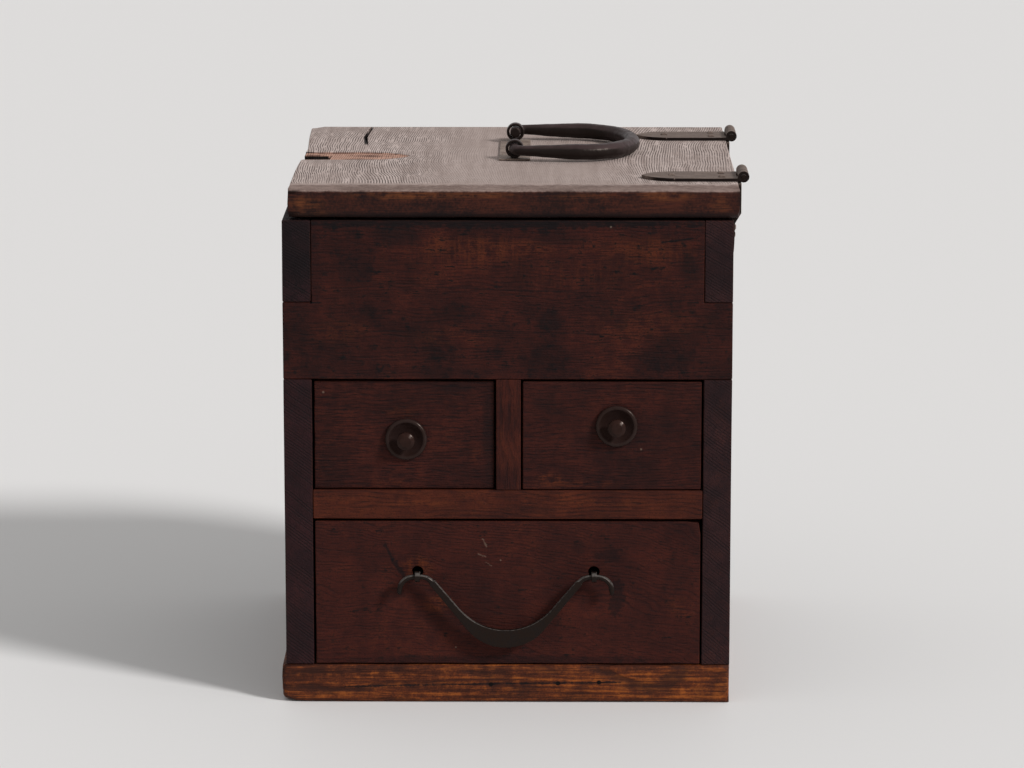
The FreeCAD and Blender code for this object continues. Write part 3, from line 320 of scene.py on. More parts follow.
# %% [markdown]
# ## Grit, wear and patches
# Dirt and wear on old wood come in sizes: specks of about a millimetre, torn edges of a few
# millimetres and soft patches as wide as a finger. Each is one noise with its own roughness, and every
# wood finish below mixes the three in its own shares.

# %% Scatter grit, wear and patches


def fine_grit(finish, spot, seed, scale=1300):
    return finish.even_noise(spot, scale, seed, 2, 0.6)


def ragged_wear(finish, spot, seed, scale=260):
    return finish.even_noise(spot, scale, seed, 5, 0.7)


def soft_patches(finish, spot, seed, scale=70):
    return finish.even_noise(spot, scale, seed, 4, 0.6)


print("three sizes of wear")

# %% [markdown]
# ## Spots and strokes
# A mark that a visitor would notice has one known place on the front. A spot is the distance from its
# middle, measured in its own half sizes. A stroke is the distance from a line between two points, made
# ragged by noise. Both look at a place flattened onto the front, so they run right through a board. A
# mask keeps those on the case near the front.

# %% Draw spots and strokes
FRONT_PLANE = (1, 0, 1)
FRONT_FACE = -86
FRONT_FADE = 6
RAGGEDNESS = 2.5


def front_of(finish, spot, parts):
    """A place flattened onto the front of the box, and a mask of what lies near the front."""
    return finish.vector_math("MULTIPLY", spot, FRONT_PLANE), parts[1].under(FRONT_FACE, FRONT_FADE)


def blot(finish, flat, across, up, half_width, half_height):
    """1 in the middle of a spot on the front, fading to 0 a little outside its half sizes."""
    near = finish.vector_math("SUBTRACT", flat, (across * MM, 0, up * MM))
    share = (1 / (half_width * MM), 0, 1 / (half_height * MM))
    return finish.length(finish.vector_math("MULTIPLY", near, share)).fall(0.3, 1.3)


def stroke(finish, flat, ragged, start, end, width):
    """1 along a thin line between two points of the front, 0 away from it."""
    first = Vector((start[0], 0, start[1])) * MM
    run = Vector((end[0], 0, end[1])) * MM - first
    near = finish.vector_math("SUBTRACT", flat, first)
    share = finish.vector_math("DOT_PRODUCT", near, run / run.length_squared, "Value")
    along = finish.vector(*[share.most(0).least(1) * part for part in run])
    distance = finish.length(finish.vector_math("SUBTRACT", near, along)) * (1 / (width * MM))
    return (distance + (ragged - 0.5) * RAGGEDNESS).fall(0.2, 0.6)


print("marks reach", FRONT_FADE, "mm in from the front")

# %% [markdown]
# ## Stained wood
# The case was stained a deep red brown. A century of hands and damp has left it uneven: nearly black
# where grime has soaked in, orange where the stain has rubbed off. Four noises, from broad clouds to
# fine grit, share out these tones. One pattern all over would look too even, so the marks of each
# board go on top: worn, scuffed and stained spots with torn edges, then cracks, scratches and specks.

# %% Lay marks over the wood
BLACK = (0.0066, 0.0056, 0.0062)
ORANGE = (0.1, 0.025, 0.0105)
PALE = (0.22, 0.16, 0.12)
TEAR = 5
SPECK = 0.45


def spotted(finish, shade, marks, flat, front, parts, detail, seed):
    """Lays worn, scuffed and stained spots over the wood."""
    x, y, z = parts
    torn = front * (detail * TEAR + 0.5).rise(0.2, 0.8)
    upright = finish.noise(x * 750, y * 750, z * 75 + seed, 3, 0.6).rise(0.45, 0.62)
    for amount, *outline in marks.get("worn", ()):
        shade = finish.blend(shade, ORANGE, blot(finish, flat, *outline) * torn * amount)
    for amount, *outline in marks.get("scuffed", ()):
        shade = finish.blend(shade, ORANGE, blot(finish, flat, *outline) * upright * front * amount)
    for amount, *outline in marks.get("stained", ()):
        blotch = (blot(finish, flat, *outline) + detail * TEAR).rise(0.35, 0.85)
        shade = finish.blend(shade, BLACK, blotch * front * amount)
    return shade


def struck(finish, shade, marks, flat, front, ragged, grit):
    """Draws cracks, scratches and specks on the wood."""
    for amount, *line in marks.get("cracks", ()):
        shade = finish.blend(shade, BLACK, stroke(finish, flat, ragged, *line) * front * amount)
    for amount, *line in marks.get("scratches", ()):
        shade = finish.blend(shade, PALE, stroke(finish, flat, grit, *line) * front * amount)
    for across, up, size in marks.get("specks", ()):
        shade = finish.blend(shade, PALE, blot(finish, flat, across, up, size, size) * front * SPECK)
    return shade


print("marks are worn to", ORANGE, "or stained to", BLACK)

# %% Make a stained finish
RED_BROWN = (0.051, 0.0122, 0.0088)
DEEP_BROWN = (0.0215, 0.0072, 0.0063)
BROAD = 22


def stained(name, grain, seed, year=1.25, heart=(-0.12, 0.09), wave=1.0, slope=0.0, deep=DEEP_BROWN,
            warm=RED_BROWN, black=0.5, orange=0.3, lines=0.35, pores=0.35, marks=None):
    """Red-brown stained wood with grime and worn places, and the marks given for its front."""
    finish = Finish(name)
    spot, parts = finish.place()
    flat, front = front_of(finish, spot, parts)
    marks = marks or {}
    ring, fibre, pore = log(finish, parts, grain, year, heart, seed, wave, slope)
    grit = fine_grit(finish, spot, seed)
    ragged = ragged_wear(finish, spot, seed + 1)
    patches = soft_patches(finish, spot, seed + 3)
    broad = finish.even_noise(spot, BROAD, seed + 7, 3, 0.5)
    tone = patches * 0.3 + ragged * 0.25 + fibre * 0.25 + grit * 0.2
    shade = finish.blend(deep, warm, tone.rise(0.4, 0.6))
    detail = (ragged - 0.5) * 0.6 + (fibre - 0.5) * 0.4
    rubbed = (patches * 0.5 + broad * 0.5 + detail * 2).rise(0.54, 0.74)
    shade = finish.blend(shade, ORANGE, rubbed * orange)
    soaked = (1 - patches * 0.5 - broad * 0.5 + detail * 2.2).rise(0.5, 0.68)
    shade = finish.blend(shade, BLACK, soaked * black)

    shade = spotted(finish, shade, marks, flat, front, parts, detail, seed)
    dark_lines = (ring * (0.4 + 1.2 * fibre) * lines + pore * pores).least(1)
    shade = finish.blend(shade, BLACK, dark_lines)
    shade = finish.blend(shade, BLACK, grit.rise(0.54, 0.66) * 0.5)
    shade = struck(finish, shade, marks, flat, front, ragged, grit)

    handled = finish.attribute("rub") * ragged.rise(0.4, 0.6)
    shade = finish.blend(shade, ORANGE, handled * 0.2)
    finish.surface(base_color=shade, roughness=0.55 + 0.15 * soaked - 0.08 * rubbed, specular_ior_level=0.06)
    finish.bump(fibre * 0.16 - dark_lines * 0.2 + ragged * 0.3 + grit * 0.16)
    return finish.material


print("stain runs from", DEEP_BROWN, "to", RED_BROWN)

# %% [markdown]
# ## Marks of a long use
# Each front has its own history: the upper board is worn where the lid is grasped and stained below
# it, and along its top grime and a painted shadow of the lid darken it. The large drawer is scratched
# round its drop handle. The marks are written in millimetres on the front of the box, so that each
# can be found and moved by hand.

# %% Mark the fronts
# A spot: how strong, then its middle across and up, then its half width and half height
# A stroke: how strong, then its start and end, then its width. A speck: its middle and its size
UPPER_MARKS = {
    "worn": [(0.5, -28, 197, 8, 5), (0.55, -10, 195, 12, 6), (0.45, 10, 196, 12, 5), (0.45, 56, 195, 20, 6),
             (0.3, 60, 163, 26, 7), (0.3, -22, 158, 20, 4), (0.3, -70, 160, 14, 6)],
    "scuffed": [(0.4, -14, 194, 26, 8), (0.3, 58, 194, 24, 7), (0.2, 26, 184, 24, 7)],
    # The long band at 206.5 mm, just under the lid, is grime and a painted shadow of the lid
    "stained": [(0.55, -46, 201, 15, 6), (0.35, -64, 187, 10, 10), (0.85, 0, 206.5, 140, 3.5),
                (0.6, 17.7, 165, 8, 6), (0.45, 76, 186, 7, 9), (0.4, 47, 164, 4, 5), (0.35, 68, 147, 16, 5),
                (0.3, -33, 174, 8, 5), (0.3, -20, 143, 36, 3), (0.4, 22, 200, 14, 4)],
    "cracks": [(0.9, (64, 198), (79, 200), 0.7), (0.9, (-82, 172.4), (-77.5, 172.4), 0.7),
               (0.8, (75, 172.6), (79.5, 172.6), 0.7), (0.6, (-30, 179), (40, 176.5), 0.6),
               (0.6, (-20, 161), (60, 158.5), 0.6), (0.5, (-82, 160.5), (-10, 160), 0.5)],
    "specks": [(42.9, 204.5, 0.5)],
}
LARGE_MARKS = {
    "worn": [(1, -38, 59, 7, 5), (0.8, -29, 43, 7, 5), (0.35, 74, 42, 8, 5)],
    # The long band at 18.5 mm darkens the drawer front along its bottom edge
    "stained": [(0.65, 46, 46, 4, 10), (0.55, 42, 64, 7, 4), (0.4, 30, 67, 4, 4), (0.3, 72, 56, 8, 12),
                (0.4, -49, 47, 8, 3), (0.5, 0, 18.5, 90, 2.5)],
    "cracks": [(0.75, (-51.7, 68.6), (-48.6, 62), 1.8), (0.75, (-48.6, 62), (-44.2, 55.5), 2.2)],
    "scratches": [(0.28, (-10.4, 71), (-9, 68), 0.7), (0.28, (-12.5, 64.6), (-9.5, 63.6), 0.7),
                  (0.2, (-9, 61), (-7, 59.5), 0.6)],
    "specks": [(-3, 62, 0.4), (-22, 24, 0.4)],
}
LEFT_MARKS = {
    "worn": [(0.35, -44, 125.5, 7, 3), (0.25, -12, 107, 6, 4), (0.25, -50, 95, 12, 2.5)],
    "stained": [(0.45, -22, 136, 10, 3), (0.4, -8, 116, 3, 24)],
    "specks": [(-77.3, 134, 0.55)],
}
RIGHT_MARKS = {
    "worn": [(0.75, 17.8, 97, 6, 3), (0.4, 30, 95, 18, 2.2)],
    "stained": [(0.35, 60, 118, 16, 10), (0.35, 15, 130, 7, 6)],
    "specks": [(56, 110, 0.5)],
}
RAIL_MARKS = {
    "worn": [(0.8, -38, 86.5, 16, 1.8), (0.6, 40, 87, 24, 1.6), (0.6, -68, 89, 12, 1.8)],
    "stained": [(0.35, 10, 84, 13, 2.5)],
}
FINGER_MARKS = {"stained": [(0.7, -88, 194, 16, 22)]}
print(sum(len(spots) for spots in UPPER_MARKS.values()), "marks on the upper front")

# %% [markdown]
# ## The boards of the case
# All boards of the case share one stain, but each has its own piece of the log, its own marks and a
# slightly different tone: the rail and the post are redder, the ends of the sides nearly black.

# %% Finish the boards of the case
LARGE_WARM = (0.059, 0.0136, 0.0092)
LARGE_DEEP = (0.031, 0.0088, 0.0072)
RAIL_WARM = (0.088, 0.0205, 0.01)
RAIL_DEEP = (0.042, 0.0112, 0.0078)
POST_WARM = (0.07, 0.0165, 0.0096)
POST_DEEP = (0.032, 0.009, 0.0074)
LEFT_WARM = (0.034, 0.0125, 0.0135)
LEFT_DEEP = (0.017, 0.0085, 0.0098)
RIGHT_WARM = (0.038, 0.0155, 0.0155)
RIGHT_DEEP = (0.018, 0.0095, 0.0105)
woods = {
    "upper_front": stained("stained_wood_upper_front", "X", 5.3, wave=1.2, black=0.6, orange=0.2,
                           marks=UPPER_MARKS),
    "left_drawer_front": stained("stained_wood_left_drawer", "X", 11.7, wave=1.2, black=0.2, orange=0.12,
                                 pores=0.5, marks=LEFT_MARKS),
    "right_drawer_front": stained("stained_wood_right_drawer", "X", 13.1, wave=1.2, black=0.25, orange=0.12,
                                  pores=0.45, marks=RIGHT_MARKS),
    "large_drawer_front": stained("stained_wood_large_drawer", "X", 15.9, wave=2.0, slope=0.12, black=0.25,
                                  orange=0.2, warm=LARGE_WARM, deep=LARGE_DEEP, pores=0.3,
                                  marks=LARGE_MARKS),
    "front_rail": stained("stained_wood_rail", "X", 6.5, warm=RAIL_WARM, deep=RAIL_DEEP, black=0.25,
                          orange=0.35, pores=0.3, marks=RAIL_MARKS),
    "divider_post": stained("stained_wood_post", "Z", 2.2, warm=POST_WARM, deep=POST_DEEP, black=0.25,
                            pores=0.3, heart=(-0.08, 0.09)),
    "back_board": stained("stained_wood_back", "X", 3.1, year=1.9, black=0.22, orange=0.15, lines=0.5),
    "left_side": stained("stained_wood_left_side", "Y", 8.4, year=1.15, heart=(-0.37, -0.3), wave=0.5,
                         warm=LEFT_WARM, deep=LEFT_DEEP, orange=0.06, black=0.25, lines=0.65,
                         marks=FINGER_MARKS),
    "right_side": stained("stained_wood_right_side", "Y", 4.4, year=1.15, heart=(-0.2, -0.3), wave=0.6,
                          warm=RIGHT_WARM, deep=RIGHT_DEEP, orange=0.1, black=0.25, lines=0.6),
}
print(len(woods), "stained finishes")

# %% [markdown]
# ## The base
# The base is a softwood board that has lost most of its stain. The soft early wood has worn away and
# the late wood stands up in long ridges, so height and tone follow the same streaks: ridges are rubbed
# to bright orange and grooves hold dark grime. A long thin crack and a few worm holes are drawn in.

# %% Make the base finish
CRACK = ((-69, 6.9), (-10, 8.2), (48, 9.0))
CRACK_WIDTH = 0.9
WORM_HOLES = ((38.7, 8.9), (-7.1, 8.0), (21.3, 8.5))
HOLE_HALVES = (1.2, 1.1)
HOLE_SHADE = (0.003, 0.002, 0.002)
SOAKED_BASE = (0.022, 0.0092, 0.0072)
DEEP_BASE = (0.05, 0.0142, 0.0076)
WARM_BASE = (0.155, 0.037, 0.0105)
WORN_BASE = (0.34, 0.098, 0.018)


def softwood():
    finish = Finish("base_wood")
    spot, parts = finish.place()
    x, y, z = parts
    ring, fibre, pore = log(finish, parts, "X", 2.9, (-0.03, 0.06), 14.2, 1.6)
    grit = fine_grit(finish, spot, 3.0)
    ragged = ragged_wear(finish, spot, 2.0, 280)
    patches = finish.noise(x * 16, y * 60, z * 170, 4, 0.6)
    streak = finish.noise(x * 30, y * 900, z * 900, 4, 0.65)
    tone = streak * 0.4 + patches * 0.2 + ragged * 0.2 + grit * 0.2
    shade = finish.blend(DEEP_BASE, WARM_BASE, tone.rise(0.42, 0.6))
    worn_down = (streak * 0.55 + patches * 0.25 + ragged * 0.4 - 0.1).rise(0.5, 0.64)
    shade = finish.blend(shade, WORN_BASE, worn_down * 0.62)
    groove = (ring * (0.5 + fibre) + pore * 0.4).least(1)
    shade = finish.blend(shade, SOAKED_BASE, groove * 0.75)
    soaked = (1 - patches * 0.7 - ragged * 0.3).rise(0.52, 0.66)
    shade = finish.blend(shade, SOAKED_BASE, soaked * 0.35)
    flat = finish.vector_math("MULTIPLY", spot, FRONT_PLANE)
    for start, end in zip(CRACK, CRACK[1:]):
        crack = stroke(finish, flat, ragged, start, end, CRACK_WIDTH)
        shade = finish.blend(shade, BLACK, crack * 0.85)
    for across, up in WORM_HOLES:
        hole = blot(finish, flat, across, up, *HOLE_HALVES).rise(0.3, 0.6)
        shade = finish.blend(shade, HOLE_SHADE, hole)
    handled = finish.attribute("rub") * ragged.rise(0.4, 0.62)
    shade = finish.blend(shade, WORN_BASE, handled * 0.6)
    finish.surface(base_color=shade, roughness=0.6 + 0.2 * soaked, specular_ior_level=0.1)
    finish.bump(streak * 0.2 - groove * 0.3 + ragged * 0.15 + grit * 0.05)
    return finish.material


woods["base_board"] = softwood()
print("base finish made with", len(WORM_HOLES), "worm holes")

# %% [markdown]
# ## The top of the lid
# The top of the lid has been scrubbed by use until its stain is gone. The board is taupe grey, and
# fine ridges run from front to back, deepest near the left and right. They are worked out like year
# rings, as a bent place across the board cut into even steps, and broken up by noise. The bed of the
# lost hasp was covered for a long time and is pale and pinkish. Its notch is painted nearly black as
# shade, and the split behind it is painted as a nearly black line.

# %% Ridge the lid
TAUPE = (0.56, 0.458, 0.42)
TAUPE_SHADE = (0.325, 0.253, 0.227)
GROOVE = (0.075, 0.052, 0.045)
LID_STAIN = (0.028, 0.0102, 0.0085)
LID_WARM = (0.05, 0.017, 0.0125)
LID_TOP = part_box("lid_board")[1].z / MM
RIDGE = 1.05
RIDGE_BOW = 0.8
RIDGE_BEND = 20
CHEVRON = 1.8
LEFT_CHEVRON = 2.6
SMOOTH_MIDDLE = 10
SMOOTH_HALF = 22
SMOOTH_FADE = 38


def ridged(finish, parts, patches):
    """The furrows between the ridges, and a mask of the sides, where they are deepest."""
    x, y, z = parts
    bend = finish.noise(x * 12, y * 7, z * 3, 1) - 0.5
    sway = finish.noise(x * 26, y * 38, z * 3 + 5, 1) - 0.5
    chevron = sway * (CHEVRON * MM + LEFT_CHEVRON * MM * x.under(-30, 40))
    across = x - y * y * RIDGE_BOW + bend * (RIDGE_BEND * MM) + chevron
    season = (across * (1 / (RIDGE * MM))).fract()
    line = season.rise(0.3, 0.5) * season.fall(0.6, 0.9)
    broken = finish.noise(x * 800, y * 120, z * 70, 2).rise(0.28, 0.52)
    sides = x.away_from(SMOOTH_MIDDLE).over(SMOOTH_HALF, SMOOTH_FADE)
    fading = 0.55 + 0.45 * patches.rise(0.4, 0.6)
    return line * broken * (0.22 + 0.78 * sides) * fading, sides


print("lid top at", LID_TOP, "mm")

# %% Colour the lid
SALMON = (0.48, 0.28, 0.21)
SALMON_SHADE = (0.17, 0.09, 0.068)
# Painted shade in the hasp's notch, also the colour of the split
PITCH_DARK = (0.012, 0.008, 0.007)
BED_TIP = (-43.5, 3.7)
BED_HALF = 12.2
BED_DEPTH = 0.6
NOTCH_END = -79.8
NOTCH_HALF = 6.1
NOTCH_TOP = 1.4
NOTCH_FLOOR = 4.6
SPLIT_BEND = (-65.8, 63)
SPLIT_TIP = (-63.9, 31)
SPLIT_HALF = 0.5


def hasp_bed(finish, parts, furrow):
    """The mask and the colour of the bed that the lost hasp has left."""
    x, y, z = parts
    bed = y.away_from(BED_TIP[1]).under(BED_HALF, 0.3) * x.under(BED_TIP[0], 0.5)
    bed = bed * z.under(LID_TOP - BED_DEPTH, 0.25)
    shreds = finish.noise(x * 70, y * 420, z, 3, 0.6).rise(0.5, 0.64)
    return bed, finish.blend(SALMON, SALMON_SHADE, (shreds + furrow * 0.6).least(1))


def hollows(parts):
    """A mask of the hasp's notch, whose dark is painted shade, and of the split, painted as a dark line."""
    x, y, z = parts
    notch = y.away_from(BED_TIP[1]).under(NOTCH_HALF, 0.3) * x.under(NOTCH_END, 0.4)
    notch = notch * z.under(LID_TOP - NOTCH_TOP, 0.3) * z.over(LID_TOP - NOTCH_FLOOR, 0.3)
    slant = (SPLIT_TIP[0] - SPLIT_BEND[0]) / (SPLIT_BEND[1] - SPLIT_TIP[1])
    beside = x - y.away_from(SPLIT_BEND[1]) * slant
    split = beside.away_from(SPLIT_BEND[0]).under(SPLIT_HALF, 0.35)
    split = split * y.over(SPLIT_TIP[1] + 3, 8) * y.under(88, 3)
    return (notch + split).least(1)


def weathered():
    finish = Finish("lid_wood")
    spot, parts = finish.place()
    x, y, z = parts
    grit = fine_grit(finish, spot, 2.0, 1200)
    ragged = ragged_wear(finish, spot, 1.0, 300)
    patches = soft_patches(finish, spot, 4.0, 45)
    furrow, sides = ridged(finish, parts, patches)
    streak = finish.noise(x * 300, y * 14, z * 40, 3, 0.6)
    tone = streak * 0.3 + patches * 0.3 + ragged * 0.2 + grit * 0.2
    shade = finish.blend(TAUPE_SHADE, TAUPE, tone.rise(0.4, 0.6) * (0.35 + 0.65 * sides))
    shade = finish.blend(shade, GROOVE, furrow * 0.85)
    pitted = (ragged * 0.5 + grit * 0.3 + patches * 0.2).rise(0.57, 0.68)
    shade = finish.blend(shade, GROOVE, pitted * 0.5)
    ring, fibre, pore = log(finish, parts, "Y", 1.5, (0.02, -0.3), 31.0)
    side_wood = finish.blend(LID_STAIN, LID_WARM, patches.rise(0.3, 0.7))
    side_wood = finish.blend(side_wood, BLACK, (ring * 0.3 + pore * 0.4).least(1))
    top = (z + (ragged - 0.5) * (2 * MM)).over(LID_TOP - 2.8, 1.2)
    shade = finish.blend(side_wood, shade, top)
    bed, salmon = hasp_bed(finish, parts, furrow)
    shade = finish.blend(shade, salmon, bed * top)
    # Painted shade fills the notch of the hasp, and the split is painted as a nearly black line
    shade = finish.blend(shade, PITCH_DARK, hollows(parts))
    finish.surface(base_color=shade, roughness=0.75, specular_ior_level=0.12)
    finish.bump(streak * 0.06 - furrow * 0.3 + ragged * 0.1 + grit * 0.04)
    return finish.material


woods["lid_board"] = weathered()
print("lid finish made")

# %% [markdown]
# ## The lipping
# A strip with its grain from left to right closes the front of the lid. Its top is smoother than the
# board behind it and still brown, and its front edge is stained dark with worn places along the upper
# corner, and painted shade darkens its lower edge. One finish holds both and goes over from one to the
# other just below the top.

# %% Make the lipping's finish
LIPPING_WEAR = [
    (0.6, -84, 214.5, 8, 3), (0.5, -82, 210, 10, 1.8), (0.7, -42, 217.8, 26, 2), (0.5, -10, 218, 16, 1.6),
    (0.7, 66, 217.8, 12, 2.4), (0.3, 30, 217.5, 18, 1.6), (0.3, 88, 214, 5, 5),
]
LIPPING_DEEP = (0.015, 0.0066, 0.006)
LIPPING_WARM = (0.055, 0.0155, 0.0095)
LIPPING_WORN = (0.14, 0.045, 0.0155)
LIPPING_TOP = (0.285, 0.205, 0.178)
LIPPING_TOP_SHADE = (0.15, 0.1, 0.085)


def lipping():
    finish = Finish("lid_wood_lipping")
    spot, parts = finish.place()
    y, z = parts[1:]
    ring, fibre, pore = log(finish, parts, "X", 1.5, (0.1, 0.02), 17.0)
    grit = fine_grit(finish, spot, 3.0, 1100)
    ragged = ragged_wear(finish, spot, 6.0)
    patches = soft_patches(finish, spot, 8.0, 60)
    tone = (patches * 0.3 + ragged * 0.25 + grit * 0.25 + fibre * 0.2).rise(0.4, 0.6)
    front = finish.blend(LIPPING_DEEP, LIPPING_WARM, tone)
    flat = finish.vector_math("MULTIPLY", spot, FRONT_PLANE)
    torn = (ragged * 0.6 + fibre * 0.4).rise(0.38, 0.6)
    for amount, *outline in LIPPING_WEAR:
        front = finish.blend(front, LIPPING_WORN, blot(finish, flat, *outline) * torn * amount)
    front = finish.blend(front, BLACK, (ring * fibre + pore * 0.7).least(1) * 0.5)
    # Painted shade along the lower edge of the lipping's front, under its rounded corner
    shaded_lower_edge = z.under(LID_TOP - 11, 3) * y.under(-94.5, 3.5)
    front = finish.blend(front, BLACK, shaded_lower_edge * 0.8)
    top_shade = finish.blend(LIPPING_TOP_SHADE, LIPPING_TOP, tone)
    top_shade = finish.blend(top_shade, GROOVE, pore * 0.4)
    back = (y + (ragged - 0.5) * (10 * MM)).over(-82, 5)
    top_shade = finish.blend(top_shade, TAUPE, back * 0.42)
    top = (z + (ragged - 0.5) * (0.8 * MM)).over(LID_TOP - 1, 0.8)
    shade = finish.blend(front, top_shade, top)
    finish.surface(base_color=shade, roughness=0.6 + 0.12 * top, specular_ior_level=0.08)
    finish.bump(fibre * 0.08 + grit * 0.06 + ragged * 0.16)
    return finish.material


woods["lid_front_lipping"] = lipping()
print("lipping finish made with", len(LIPPING_WEAR), "worn places")

# %% [markdown]
# ## Plain inner boards
# Inside, the boards were never stained. They are pale brown with a little grime, and the same two
# finishes serve all of them: one for grain from left to right and one for grain from front to back.

# %% Make the inner finishes
INNER_SHADE = (0.15, 0.082, 0.044)
INNER_PALE = (0.25, 0.145, 0.08)
INNER_LINES = (0.07, 0.036, 0.02)
INNER_GRIME = (0.06, 0.034, 0.022)


def plain(name, grain, seed):
    finish = Finish(name)
    spot, parts = finish.place()
    ring, fibre, pore = log(finish, parts, grain, 1.8, (-0.1, 0.08), seed)
    patches = finish.even_noise(spot, 30, seed, 3, 0.6)
    tone = patches * 0.5 + fibre * 0.5
    shade = finish.blend(INNER_SHADE, INNER_PALE, tone.rise(0.35, 0.65))
    shade = finish.blend(shade, INNER_LINES, (ring * 0.45 + pore * 0.4).least(1))
    grime = (1 - patches * 0.7 - fibre * 0.3).rise(0.52, 0.75)
    shade = finish.blend(shade, INNER_GRIME, grime * 0.45)
    finish.surface(base_color=shade, roughness=0.66 + 0.15 * fibre, specular_ior_level=0.15)
    finish.bump(fibre * 0.06 - ring * 0.06)
    return finish.material


inner_across = plain("inner_wood_across", "X", 20.5)
inner_along = plain("inner_wood_along", "Y", 23.5)
print("inner finishes made")

# %% [markdown]
# ## Forged iron
# The handle, the knobs and the drop handle were hammered from wrought iron and then left alone for a
# long time, so they carry a thin brown-black rust with a soft shine. The hinges lie on the lid and
# have taken up its dust. Painted shade darkens what faces down or forwards, and a painted highlight
# brightens the slopes of the drop handle, so the finish looks at which way the surface faces. All
# irons come from one finish with other tones.

# %% Make an iron finish
# Painted shade for iron that faces down or forwards
IRON_SHADE = (0.007, 0.0045, 0.0042)
WARM_SHINE = (1, 0.82, 0.72)


def iron(name, tones, dust, rough, dusty=0.0, pits=0.04, shine=0.2, grime=0.0, shade_forwards=0.0, rubbed=0.0):
    """Hammered iron under old rust, with dust on it, painted shade below and on faces that point forwards,
    and a painted highlight on slopes that face up.
    """
    finish = Finish(name)
    spot, parts = finish.place()
    x, y, z = parts
    broad = finish.even_noise(spot, 140, 0.0, 3, 0.6)
    fine = finish.even_noise(spot, 700, 2.0, 4, 0.7)
    streak = finish.noise(x * 90, y * 800, z * 800, 4, 0.65)
    crust = (broad * 0.5 + fine * 0.5).rise(0.42, 0.6)
    shade = finish.blend(*tones, crust)
    settled = (streak * 0.35 + broad * 0.25 + fine * 0.4).rise(0.44, 0.56)
    shade = finish.blend(shade, dust, settled * dusty)
    bright = finish.attribute("rub") * fine.rise(0.4, 0.6)
    shade = finish.blend(shade, dust, bright * 0.4)
    _, backwards, upwards = finish.facing()
    # Painted highlight: the rubbed share lightens the surfaces that slope upwards
    highlight_slopes = upwards.rise(0.15, 0.5) * upwards.fall(0.75, 0.95)
    shade = finish.blend(shade, dust, highlight_slopes * fine.rise(0.3, 0.55) * rubbed)
    # Painted shade: the grime share darkens what faces down, and the share for ends darkens what faces
    # forwards
    below = upwards.fall(-0.3, 0.7)
    ends = backwards.fall(-0.9, -0.6)
    shade = finish.blend(shade, IRON_SHADE, (below * grime + ends * shade_forwards).least(1))
    finish.surface(base_color=shade, roughness=rough + 0.15 * crust, specular_ior_level=shine,
                   specular_tint=WARM_SHINE)
    finish.bump(fine * pits + broad * (3 * pits) + streak * (2 * pits * dusty))
    return finish.material


print("iron finish ready")

# %% Make the irons
# The tones of an iron are its skin and its rust
HANDLE_TONES = ((0.044, 0.027, 0.028), (0.024, 0.0135, 0.0135))
DARK_TONES = ((0.0078, 0.0055, 0.005), (0.0098, 0.0053, 0.0039))
ROSETTE_TONES = ((0.022, 0.0122, 0.0108), (0.0165, 0.0075, 0.006))
STUD_TONES = ((0.024, 0.01, 0.0078), (0.016, 0.0066, 0.0052))
PLATE_TONES = ((0.27, 0.205, 0.165), (0.14, 0.102, 0.084))
HINGE_TONES = ((0.125, 0.09, 0.075), (0.055, 0.038, 0.031))
DUST = (0.26, 0.197, 0.168)
WORN_IRON = (0.07, 0.055, 0.052)
# The colour of the painted highlight on the slopes of the dark iron
IRON_HIGHLIGHT = (0.15, 0.135, 0.125)
# The grime share and the share for ends paint shade on these irons, and the rubbed share paints a highlight
# on the slopes of the dark iron
irons = {
    "handle": iron("forged_iron_handle", HANDLE_TONES, WORN_IRON, 0.36, dusty=0.2, pits=0.1, shine=0.22,
                   grime=0.85, shade_forwards=0.8),
    "dark": iron("forged_iron_dark", DARK_TONES, IRON_HIGHLIGHT, 0.26, shine=0.14, rubbed=0.5),
    "rosette": iron("forged_iron_rosette", ROSETTE_TONES, WORN_IRON, 0.22, shine=0.15, grime=0.25),
    "stud": iron("forged_iron_stud", STUD_TONES, WORN_IRON, 0.2, shine=0.12, grime=0.25),
    "plate": iron("forged_iron_plate", PLATE_TONES, DUST, 0.5, dusty=0.25, pits=0.03, shine=0.25),
    "hinge": iron("hinge_iron", HINGE_TONES, DUST, 0.55, dusty=0.6, pits=0.035, shine=0.15, grime=0.25,
                  shade_forwards=0.9),
}
print(len(irons), "iron finishes")

# %% [markdown]
# ## Which body and which finish a piece belongs to
# The record says which body every node rides on and which material slot it has. Two tables read both,
# and a small helper puts a new piece on its node's body with its finish and hides the node, by one call.

# %% Read bodies and slots from the record
record = frame["record"]
body_of = {node: body for body, nodes in record["behaviour"]["bodies"].items() for node in nodes}
slot_of = {part["node"]: part["material_slot"] for part in record["subparts"]}
dressed = set()


def dress(piece, node, material):
    """Puts a finished piece in the place of its node."""
    piece.data.materials.clear()
    piece.data.materials.append(material)
    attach(piece, body_of[node])
    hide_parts(node)
    dressed.add(node)


# %% [markdown]
# ## From a solid to a mesh and back
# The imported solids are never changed. Each piece starts as a copy whose needless points and edges are
# taken out, because bevels and cuts come out cleaner on large flat faces. When the copy has its shape,
# a second helper turns it into a piece with smooth faces and sharp creases.

# %% Copy a solid and set down a piece
WELD = 0.01 * MM
FLAT = math.radians(2)


def smooth_faces(mesh):
    mesh.polygons.foreach_set("use_smooth", [True] * len(mesh.polygons))


def copy_of(node):
    """An editable copy of a node's solid, without needless points and edges."""
    bm = bmesh.new()
    bm.from_mesh(frame["nodes"][node].data)
    bmesh.ops.remove_doubles(bm, verts=bm.verts, dist=WELD)
    bmesh.ops.dissolve_limit(bm, angle_limit=FLAT, verts=bm.verts, edges=bm.edges)
    return bm


